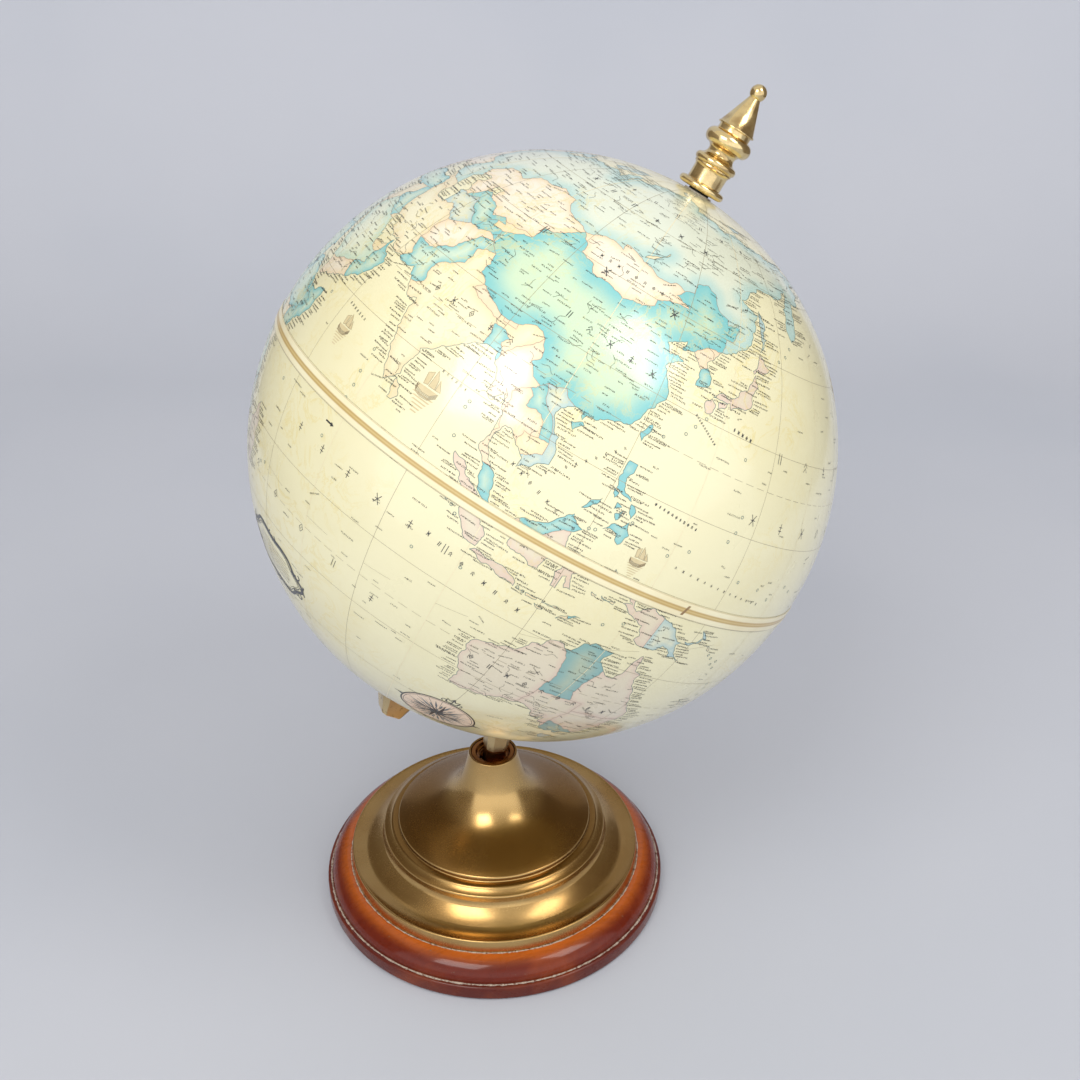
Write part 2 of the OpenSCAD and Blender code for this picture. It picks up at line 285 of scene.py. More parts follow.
def printed_map():
    """The print's own tints, aged with yellow veins and clouds, under a glossy varnish."""
    s = Shader("printed_map", srgb(236, 229, 196), 0.4, Coat_Weight=0.9, Coat_Roughness=0.13,
               Coat_IOR=1.5)
    tint = s.node("ShaderNodeVertexColor", layer_name="tint").outputs["Color"]
    warp = s.noise(46.0, 7.0, 0.66, 1.6)
    vein = s.math("ABSOLUTE", s.math("SUBTRACT", warp, 0.5))
    vein = s.ramp(vein, 0.0, 0.03, 1.0, 0.0)
    vein = s.math("MULTIPLY", vein, s.ramp(s.noise(11.0, 4.0), 0.47, 0.6))
    cloud = s.ramp(s.noise(15.0, 3.0, 0.5, 0.5), 0.4, 0.72)
    aged = s.mix(s.math("MULTIPLY", cloud, 0.14), tint, srgb(226, 212, 160), "MULTIPLY")
    aged = s.mix(s.math("MULTIPLY", vein, 0.45), aged, srgb(224, 204, 116))
    fleck = s.ramp(s.noise(900.0, 3.0), 0.66, 0.8, 0.0, 0.18)
    s.colour(s.mix(fleck, aged, srgb(190, 172, 128)))
    s.roughness(s.ramp(s.noise(45.0, 4.0), 0.3, 0.7, 0.27, 0.38))
    s.bump(s.noise(70.0, 3.0, 0.5), 0.00010, 0.25)
    return s.mat


def ink(name, colour, pale, rough=0.4):
    """Printing ink, rubbed thin a little unevenly."""
    s = Shader(name, colour, rough, Coat_Weight=0.4, Coat_Roughness=0.2)
    s.colour(s.mix(s.ramp(s.noise(160.0, 4.0), 0.4, 0.75, 0.0, 0.6), colour, pale))
    return s.mat


def tape():
    """Varnished paper tape: its bands of colour, one a painted highlight, yellowed in clouds."""
    s = Shader("equator_tape", srgb(214, 190, 138), 0.34, Coat_Weight=0.6, Coat_Roughness=0.2)
    body = s.node("ShaderNodeVertexColor", layer_name="tint").outputs["Color"]
    cloud = s.ramp(s.noise(40.0, 4.0), 0.35, 0.7, 0.0, 0.25)
    s.colour(s.mix(cloud, body, srgb(232, 214, 172), "MULTIPLY"))
    s.bump(s.noise(300.0, 3.0), 0.00004, 0.3)
    return s.mat


def studio_floor():
    """Matt grey paper, very slightly uneven."""
    s = Shader("studio_floor", srgb(190, 193, 202), 0.75)
    s.colour(s.mix(s.ramp(s.noise(1.6, 3.0), 0.35, 0.7), srgb(192, 195, 203), srgb(187, 191, 200)))
    return s.mat


MATERIALS = {
    "felt": plain("wool_felt", srgb(52, 66, 44), srgb(36, 48, 32), 0.95, 0.0, 900.0, 0.0003),
    "stained_wood": stained_wood(),
    "iron": plain("cast_iron", srgb(58, 58, 60), srgb(38, 38, 40), 0.7, 0.6, 200.0, 0.0002),
    # The spun cover gets painted shade where it faces up.
    "spun_brass": brass("spun_brass", srgb(204, 170, 112), srgb(166, 126, 72), 0.24, painted_shade=0.88),
    "cast_brass": brass("cast_brass", srgb(226, 204, 156), srgb(128, 98, 62), 0.3, 0.75, 560.0,
                        0.58),
    "turned_brass": brass("turned_brass", srgb(240, 216, 160), srgb(150, 110, 58), 0.16, 0.3,
                          cloudy=130.0),
    "dark_brass": brass("dark_brass", srgb(142, 92, 48), srgb(84, 46, 22), 0.26),
    "zinc_steel": plain("zinc_steel", srgb(170, 172, 176), srgb(128, 130, 134), 0.35, 1.0),
    "nylon": plain("nylon", srgb(206, 200, 184), srgb(186, 178, 160), 0.45),
    "black_rubber": plain("black_rubber", srgb(24, 23, 22), srgb(40, 36, 32), 0.7),
    "board": plain("pressed_board", srgb(160, 134, 96), srgb(132, 106, 72), 0.9, 0.0, 90.0, 0.0002),
    "map_paper": printed_map(),
    "tape": tape(),
}

# ---------------------------------------------------------------- the map's outlines
# Longitude and latitude in degrees. East longitude runs from -30 to 330, so that the map is
# cut down the middle of the Atlantic.
WEST_EDGE = -30.0
EAST_EDGE = 330.0
POLE_LATITUDE = 87.15  # the edge of the hole for the axle's bush

CONTINENTS = """
32.4 31.1, 32.5 29.9, 34.2 27.8, 35 29.5, 34.7 28, 35.5 28, 37.1 24.9, 39.1 21.4, 40.9 19.4,
42.6 16.6, 43.3 12.7, 45 12.8, 48.7 14, 52.2 15.6, 54.9 17, 57.8 19, 58.8 20.7, 59.8 22.5,
58.6 23.6, 56.8 24.3, 56.4 26.3, 54.5 24.3, 51.6 24.2, 51.5 25.9, 50.8 25.5, 50.2 26.6,
48.6 28.2, 48 30, 50.1 30.2, 51.4 27.9, 54.5 26.6, 56.9 27.1, 57.3 25.7, 61.6 25.1, 66.6 25.3,
67.4 23.9, 68.9 22.3, 70.4 20.9, 72.6 21.5, 72.8 19, 73.5 16, 74.8 12.9, 76.3 9.9, 77.5 8.1,
79.2 9.3, 79.9 10.3, 80.2 13.5, 80.1 15.5, 82.3 16.7, 84.8 19.1, 86.9 20.8, 88.2 21.7,
90.5 22.3, 91.9 22.3, 92.6 20.4, 94.3 18.5, 94.3 16, 95.3 15.8, 96.9 17.3, 97.7 15.9,
98.6 12.8, 98.4 10, 98.3 8, 100.3 6.2, 100.5 4.8, 101.3 2.9, 103.5 1.3, 104.2 1.4, 103.4 4,
102.2 6.2, 100.5 7.3, 99.3 9.3, 99.2 11.2, 100 13.3, 100.9 13.4, 101.8 12.7, 103 11.6,
104.9 10.4, 104.8 8.7, 106.6 9.7, 107.2 10.5, 109.2 11.6, 109.2 13.6, 108.3 16.1, 106.4 18,
105.8 19.2, 107 21, 108.2 21.6, 109.7 21.4, 110.2 20.3, 110.6 21.3, 113.6 22.2, 116.6 23.1,
118.9 25, 120.6 27.9, 121.9 29.9, 121.9 31, 120.9 32.8, 119.2 34.9, 120.4 36.1, 122.5 37.2,
120.8 37.8, 118.9 37.3, 117.8 38.9, 119.5 39.8, 121.8 40.9, 121.3 39, 124 39.8, 125.2 38.7,
126.6 37.6, 126.4 34.6, 129.1 35.2, 129.5 37, 127.6 39.3, 129.8 41.3, 130.7 42.3, 133 42.8,
135.5 44.4, 139 47.4, 140.5 50.5, 141.3 53, 137.5 53.9, 135.3 54.7, 139 57.2, 143.2 59.3,
150 59.6, 155 59.4, 160 61.7, 163.5 62.4, 160.3 60, 156.7 57.8, 155.7 55, 156.7 51.1,
159.9 53, 162.2 56.2, 163.3 58, 166 60.2, 170.3 60, 174 61.8, 179.3 62.5, 177.5 64.7,
182 65.4, 186.8 64.3, 190.2 66, 185 67.1, 180 68.9, 176 69.8, 170.5 69.7, 161 69.5,
159.8 70.6, 152.5 70.9, 140 72.4, 131 70.9, 127 72.6, 113 73.6, 113.5 75.6, 104.3 77.7,
98 76.3, 87 75.1, 80.5 73.6, 80.6 72.5, 73 71.4, 74 68.5, 71.5 66.3, 72.5 69.5, 72.8 72.8,
69.2 72.9, 66.8 70.8, 68.5 68.3, 60.5 69.8, 54 68.5, 46 68.2, 43.5 68.6, 44 66.3, 39.8 64.6,
36.5 64, 34.8 64.5, 32.5 67, 41 66.7, 41 67.7, 33 69.4, 28.2 71.1, 23 70.2, 18 69.3,
14.5 67.8, 12.3 65.5, 9.7 63.6, 5.2 62, 5 60, 5.6 58.6, 7.5 58.1, 10.5 59.3, 11.8 57.7,
13 55.4, 14.3 55.5, 16.5 56.8, 17 58.6, 18.9 60, 17.2 61.7, 18.5 63, 21.3 64.6, 22.2 65.8,
25.3 65, 21.5 63.2, 21.3 61, 23 59.9, 28 60.6, 30.2 59.9, 23.5 59.3, 24.4 57.3, 21.5 57.4,
21.1 55.3, 19 54.4, 14.2 54, 10.9 54.3, 10.6 57.7, 8.2 57, 8.7 53.9, 5 53.3, 3.5 51.4,
1.6 50.9, -1.5 49.7, -1.6 48.7, -4.7 48.4, -2.2 47.2, -1.2 45.8, -1.5 43.5, -8 43.7,
-9.2 42.9, -8.8 40.5, -9.4 38.7, -8.8 37.1, -6.4 36.8, -5.6 36.1, -2.2 36.8, -0.4 38.4,
0 39.8, 3.2 41.9, 3.1 43.1, 7.4 43.7, 9 44.4, 10.4 43, 12.3 41.7, 15 40.2, 16.1 38.7,
15.7 38, 17.1 39, 16.7 40.4, 18.4 39.9, 16 41.5, 14.1 42.6, 12.4 44.2, 12.3 45.3, 13.8 45.2,
15 44.2, 17.5 42.9, 19.4 41.8, 19.6 40.3, 21.3 38.3, 21.7 36.9, 23.2 36.8, 23.5 37.9,
22.9 39.2, 23 40.3, 26.1 40.7, 28.8 41.2, 28 42, 27.9 43.2, 28.8 44.8, 30.8 46.4, 33.5 45.9,
33.6 44.4, 35.4 45.1, 35 46.2, 38.2 47, 37.2 45, 39.5 43.8, 41.5 42.4, 41.3 41.3, 38 41,
35 42, 32 41.7, 29.2 41, 26.8 40.2, 26.3 39.2, 27.2 37, 29.5 36.4, 30.6 36.8, 32.5 36.1,
34.6 36.7, 36 36.7, 35.8 34.9, 34.9 32.5, 34.2 31.3, 32.4 31.1;
32.5 29.9, 33.5 27.8, 35.5 24, 37.2 21, 37.3 18.8, 39.5 15.5, 42.5 12.5, 43.2 11.5,
44.5 10.4, 51.1 11.8, 50.8 9.4, 48 4.5, 43.5 0.5, 40.8 -2.3, 39.3 -4.8, 39.5 -7.5,
40.5 -10.5, 40.6 -15, 34.8 -19.8, 35.4 -22.5, 32.8 -25.6, 32.8 -27.5, 30.5 -31, 27.5 -33.3,
22 -34.1, 19.8 -34.8, 18.3 -33.9, 17.9 -31.8, 16 -28.5, 14.5 -22.5, 11.8 -16, 13.5 -12.3,
13 -8.8, 11.9 -5, 9 -0.8, 9.7 2.5, 9 4.4, 6 4.3, 4.3 6.3, 1.2 6, -2 4.8, -7.6 4.4,
-11.5 6.9, -15 11, -16.8 13, -17.4 14.7, -16.3 17.5, -17 21, -15 25, -12.9 27.9, -9.8 29.8,
-6.8 34, -5.6 35.8, -2.5 35.2, 2 36.6, 9.8 37.3, 11 36.9, 10.2 34.3, 15.2 32.3, 18.5 30.4,
20.2 32.4, 25.2 31.6, 29 30.9, 31 31.5, 32.4 31.1;
191.9 65.6, 196.3 66.5, 193.5 68.3, 203.5 71.3, 219 69.6, 231 70.2, 245 68.3, 257 68,
264 67.8, 265 69.6, 264.5 71.8, 268.5 70, 272 68.2, 278.5 69.5, 274 66.4, 271 63.6, 267 62,
265.4 59, 268.5 57, 272.5 56.6, 277.5 55.2, 278 52.9, 280.8 51.4, 281.3 54.8, 283.5 57,
281.7 58.9, 282.3 62.4, 286.5 62.2, 290.4 61, 290.5 59, 295.5 60, 298 57, 302.5 54.7,
304.3 52.2, 300.2 50.3, 293.5 50.2, 291 48.8, 295.2 47, 298.8 46, 293.8 43.6, 294 45.2,
290.5 43.8, 289.3 42.5, 290 41.7, 286 40.6, 285.6 39.5, 284 37, 284.3 35.3, 281 33.5,
278.7 31.2, 280 26.8, 279 25.2, 277.5 27.8, 275.5 30, 270.5 30.2, 265.5 29.5, 262.7 27.5,
262.3 22.5, 265.5 18.2, 269.3 19.6, 269.9 21.2, 273.2 21.4, 271.8 15.8, 276.8 15, 276.3 11,
279.5 9.2, 282.8 8.3, 284.5 10.8, 288.4 12.3, 298 10.6, 302 7, 308.5 4.8, 310.3 0.8,
315 -1.5, 320.5 -3.2, 324.8 -5.5, 325.1 -8.2, 321.2 -13, 320.6 -17.8, 318 -22.8, 312 -25.2,
311.3 -28.6, 306.3 -34.5, 301.8 -34, 303.3 -36.5, 297.8 -39.5, 295 -41, 294.3 -45,
292.3 -46.5, 294.2 -48, 291 -52.3, 294.8 -54.9, 288 -54, 285 -51, 284.6 -46.8, 286.8 -42.5,
286.3 -38.5, 288.4 -32, 289.6 -25, 289.6 -18.3, 284 -14.2, 281.3 -8.5, 278.8 -5.8, 279.8 -2.8,
279.5 0.8, 281.3 2.5, 282.6 6.5, 279.2 7.6, 277 8.2, 274.3 10.8, 272 13, 265.5 16.1,
260 16.6, 254.8 19.6, 254.5 21.5, 246.9 31.7, 245.2 31, 250.3 23.2, 245.8 28, 243 32.5,
239.2 35.3, 236.3 38.8, 235.6 41.5, 236 46.2, 237.5 48.3, 232.5 51.5, 230.2 54.6, 227.5 57,
223 58.8, 216.5 60, 208 61, 202 58.5, 196.5 54.9, 202.5 58.7, 198 58.8, 195 61.5, 199 63.5,
191.9 65.6;
114 -21.9, 116.8 -20.6, 119 -20, 121.2 -19.5, 122.2 -18.2, 122.9 -16.5, 124.5 -16.4,
125.8 -14.3, 127.2 -14, 128.4 -14.9, 129.6 -14.9, 130.8 -12.5, 132.6 -11.6, 135.2 -12.2,
136.9 -12.2, 135.9 -14.8, 137.5 -16.1, 139.5 -17.5, 140.9 -17.5, 141.7 -15, 141.7 -12.8,
142.5 -10.8, 143.6 -14.3, 145.4 -15, 146.1 -18, 148 -20, 149.7 -22.4, 150.9 -23.5,
153.1 -25.8, 153.6 -28.6, 152.5 -32.4, 151.2 -34, 150 -37.3, 147 -38.1, 146.3 -39.1,
144.9 -38, 143.5 -38.8, 140.7 -38, 139.5 -36, 138.2 -35.6, 138.1 -33.5, 137 -35.2,
137.8 -32.6, 135.9 -34.7, 134.2 -32.8, 131.2 -31.5, 126 -32.3, 123.6 -33.9, 119.9 -34,
118 -35, 115.1 -34.3, 115.7 -31.8, 114.6 -29, 113.5 -26.3, 114.1 -24.6, 113.5 -23.5,
114 -21.9
"""

ICE = """
330 83.2, 320 82.5, 302 82, 290.5 78.5, 301 75.8, 305.5 72, 306.5 68, 309 64.2, 315.5 60,
320 64.8, 327 68.2, 330 68.6;
-30 68.6, -22.5 70.2, -21.5 73, -19 76.5, -17.5 80, -24 82.5, -30 83.2;
-30 -76.5, -12 -71.5, 10 -70.3, 38 -69.5, 50 -67, 60 -67.3, 70 -69.8, 80 -68, 100 -66.3,
130 -66.2, 150 -68.6, 165 -71, 163 -77.5, 180 -78.2, 215 -76, 235 -74.3, 270 -73,
285 -72.5, 292.5 -68.5, 300 -64.2, 303 -63.3, 299 -67, 300 -75, 318 -78, 330 -76.5
"""

ISLANDS = """
49.2 -12.2, 50.3 -15.7, 49.3 -18, 47.1 -25, 44.6 -25.3, 43.5 -22.5, 44.4 -20, 44.2 -16.8,
46.3 -15.8; 79.8 9.5, 81.2 8.6, 81.8 7.2, 81 6.1, 80.1 6.1, 79.7 8;
95.3 5.6, 97.5 5.2, 100.4 2.6, 103.2 0.7, 103.8 -1, 106 -3, 105.8 -5.8, 104.5 -5.8,
102.2 -4, 100.3 -0.9, 98.8 1.7, 96 4;
105.3 -6.8, 106.8 -6.1, 108.5 -6.6, 110.7 -6.4, 112.6 -6.9, 114.4 -7.8, 114.4 -8.6, 111 -8.2,
108 -7.8; 116.8 -8.5, 119 -8.3, 118.9 -8.8, 117 -9; 119.9 -8.4, 122.8 -8.2, 122.5 -8.7, 120 -8.8;
119 -9.5, 120.8 -10, 120 -10.2; 123.5 -10.3, 125.1 -8.9, 127.2 -8.4, 125.4 -9.5;
109 1.5, 109.6 2, 111.2 2.5, 113 3.2, 114.5 4.5, 116.8 7, 119.2 5.3, 117.8 4.2, 118 2.3,
119 1, 117.5 0.2, 116.5 -1.8, 116.2 -3.9, 114.6 -4.1, 113 -3.2, 110.2 -2.9, 109.9 -1.2, 109 0.3;
119.8 0.2, 120.8 1.3, 125.1 1.6, 124 0.4, 120.6 0.4, 120.5 -0.9, 123.2 -0.8, 121.6 -1.9,
122.8 -4.5, 121.6 -4.7, 121 -2.7, 120.4 -3, 120.4 -5.5, 119.5 -5.4, 118.9 -2.9, 119.8 -0.8;
127.6 2, 128.6 1.2, 127.9 -0.5, 127.7 0.6; 128 -3.1, 130.7 -3.3, 130.6 -3.8, 128.2 -3.5;
126.1 -3.2, 127.2 -3.4, 126.5 -3.8;
131 -0.9, 134 -0.8, 134.3 -2.8, 135.1 -3.3, 137.8 -1.5, 141 -2.6, 144.5 -3.8, 145.8 -5.4,
147.8 -6.1, 147 -6.8, 148.5 -9, 150.8 -10.3, 147.2 -9.6, 144.6 -7.7, 143.3 -9.1, 141 -9.1,
138.2 -8.3, 138.7 -7.3, 137.8 -5.3, 133.8 -3.8, 132 -2.8, 133.8 -2.4;
148.4 -5.7, 151 -5.4, 152.2 -4.2, 151.5 -5.5, 149.5 -6.3; 150.8 -2.7, 153 -4.6, 152.2 -3.6;
154.7 -5.5, 155.9 -6.8, 155.2 -6.5; 144.7 -40.8, 148.3 -40.9, 148 -42.9, 146.8 -43.6,
145.3 -42.4; 172.7 -34.5, 174.8 -36.8, 178.5 -37.7, 176.9 -39.5, 175.2 -41.6, 173.8 -39.3,
174.7 -38; 172.7 -40.6, 174.3 -41.8, 172.8 -43.8, 170.6 -46, 168.4 -46.6, 166.5 -45.9,
168.5 -44, 171.2 -42.2; 120.6 18.5, 122.2 18.5, 122.2 17, 121.5 15.8, 122 14.1, 124.1 12.8,
123.3 13.1, 120.7 13.8, 120.2 15.5, 120.4 17; 124.3 12.5, 125.4 12, 125.3 10.3, 124.7 11;
122 11.8, 123.1 11.4, 122 10.6; 122.5 10, 123.5 10.9, 123.2 9.1; 123.4 9.6, 124 11.1, 123.9 10.2;
122 7, 123.3 8.6, 124.7 8.6, 125.5 9.8, 126.5 7.8, 126 6.4, 125.5 5.7, 124.9 6, 124.2 7.3,
123.4 7.5; 117.2 8.4, 119.5 11.3, 119.3 10.3, 118 8.8; 120.4 13.5, 121.5 13.2, 121.1 12.2;
121.5 25.3, 120.8 22, 120.1 23.3; 108.7 19.3, 110.5 20.1, 111 19.7, 109.6 18.2;
130.9 33.9, 132 33.2, 131.4 31.4, 130.2 31.2, 129.7 33.1; 132.5 33.9, 134.6 34.3, 134.2 33.3,
132.9 32.8; 130.9 34.2, 132.7 35.5, 136 35.7, 137.3 37.5, 139 38, 140 39.8, 140.9 41.5,
141.9 39.5, 141 38.2, 140.8 35.7, 139.8 35, 138.2 34.6, 136.9 34.3, 135.7 33.5, 135.2 34.6,
132.5 34.3; 140 42, 141.3 43.3, 141.7 45.5, 143.5 44.2, 145.3 43.6, 143.2 42, 141 42.4, 140.3 41.5;
142 54.2, 143.3 52.5, 143.2 49.3, 144.5 49, 142.8 46.7, 142 46, 142.1 50, 141.8 53;
164 -20.2, 167 -22.3, 166 -22.2; 177.3 -17.6, 178.6 -17.5, 178.2 -18.3;
-5.7 50.1, 1.4 51.2, 1.7 52.7, 0 53.6, -1.6 55.4, -3.3 56.3, -2 57.6, -3.1 58.6, -5 58.6,
-6.1 56.6, -4.9 54.8, -3 54.8, -3 53.4, -4.1 52.2, -5.2 51.9, -3 51.4;
-6.1 52.2, -5.6 54.6, -7.4 55.3, -10 54.1, -9.9 51.7; -22.6 63.9, -18.8 63.4, -14 64.8,
-15 66.3, -24 65.6; 12.5 38, 15.6 38.2, 15.1 36.7; 8.3 40.8, 9.7 41, 9.6 39.1, 8.5 39;
51.6 71.5, 55.5 75, 68.5 76.9, 57.5 70.6; 11 79.6, 20 80.2, 21 78.3, 16.5 76.6, 13 78;
95 79.5, 100 81, 105 79, 100 78; 138 75.5, 150 75, 142 73.6;
279.5 73.6, 289 71, 298.5 66.6, 293.5 63, 288 63, 283 70, 271 70.5, 271.5 73.5;
282 76.5, 271 77, 268 81.5, 285 83.1, 298.5 82.5, 285 78.5; 243 69.3, 256 68.8, 255 71.5,
247 73.2, 242 72; 300.7 47.6, 307 46.7, 306.8 49, 304.5 51.5, 301.6 49;
275.2 21.9, 279.3 23.1, 285.8 20.2, 282.4 19.9; 285.6 18.3, 287 19.9, 291.6 18.6;
299.5 -51.5, 302 -51.8, 300.5 -52.3; 204 19, 205 19.8, 204.3 20.2;
49 46.2, 47 44.7, 47.7 42.8, 49.5 40.5, 48.9 38.4, 50.2 37.3, 53.9 37, 53.8 39, 52.7 41,
54.5 42, 51.2 44.5, 53 45.4, 53 46.9, 50 46.7; 58.3 44.3, 61.8 44.5, 61.5 46.5, 59 46.3;
104 51.5, 108 53.5, 109.7 55.6, 106 53; 32 0.3, 34 0.4, 33.8 -1.8, 31.8 -2.4;
268 47, 273 48.6, 275.5 46.8, 272 46.6; 272 42, 272.5 45, 275 45.5, 273.5 42; 277 43.2, 276 45.7,
280 44.5, 278.3 43.3
"""

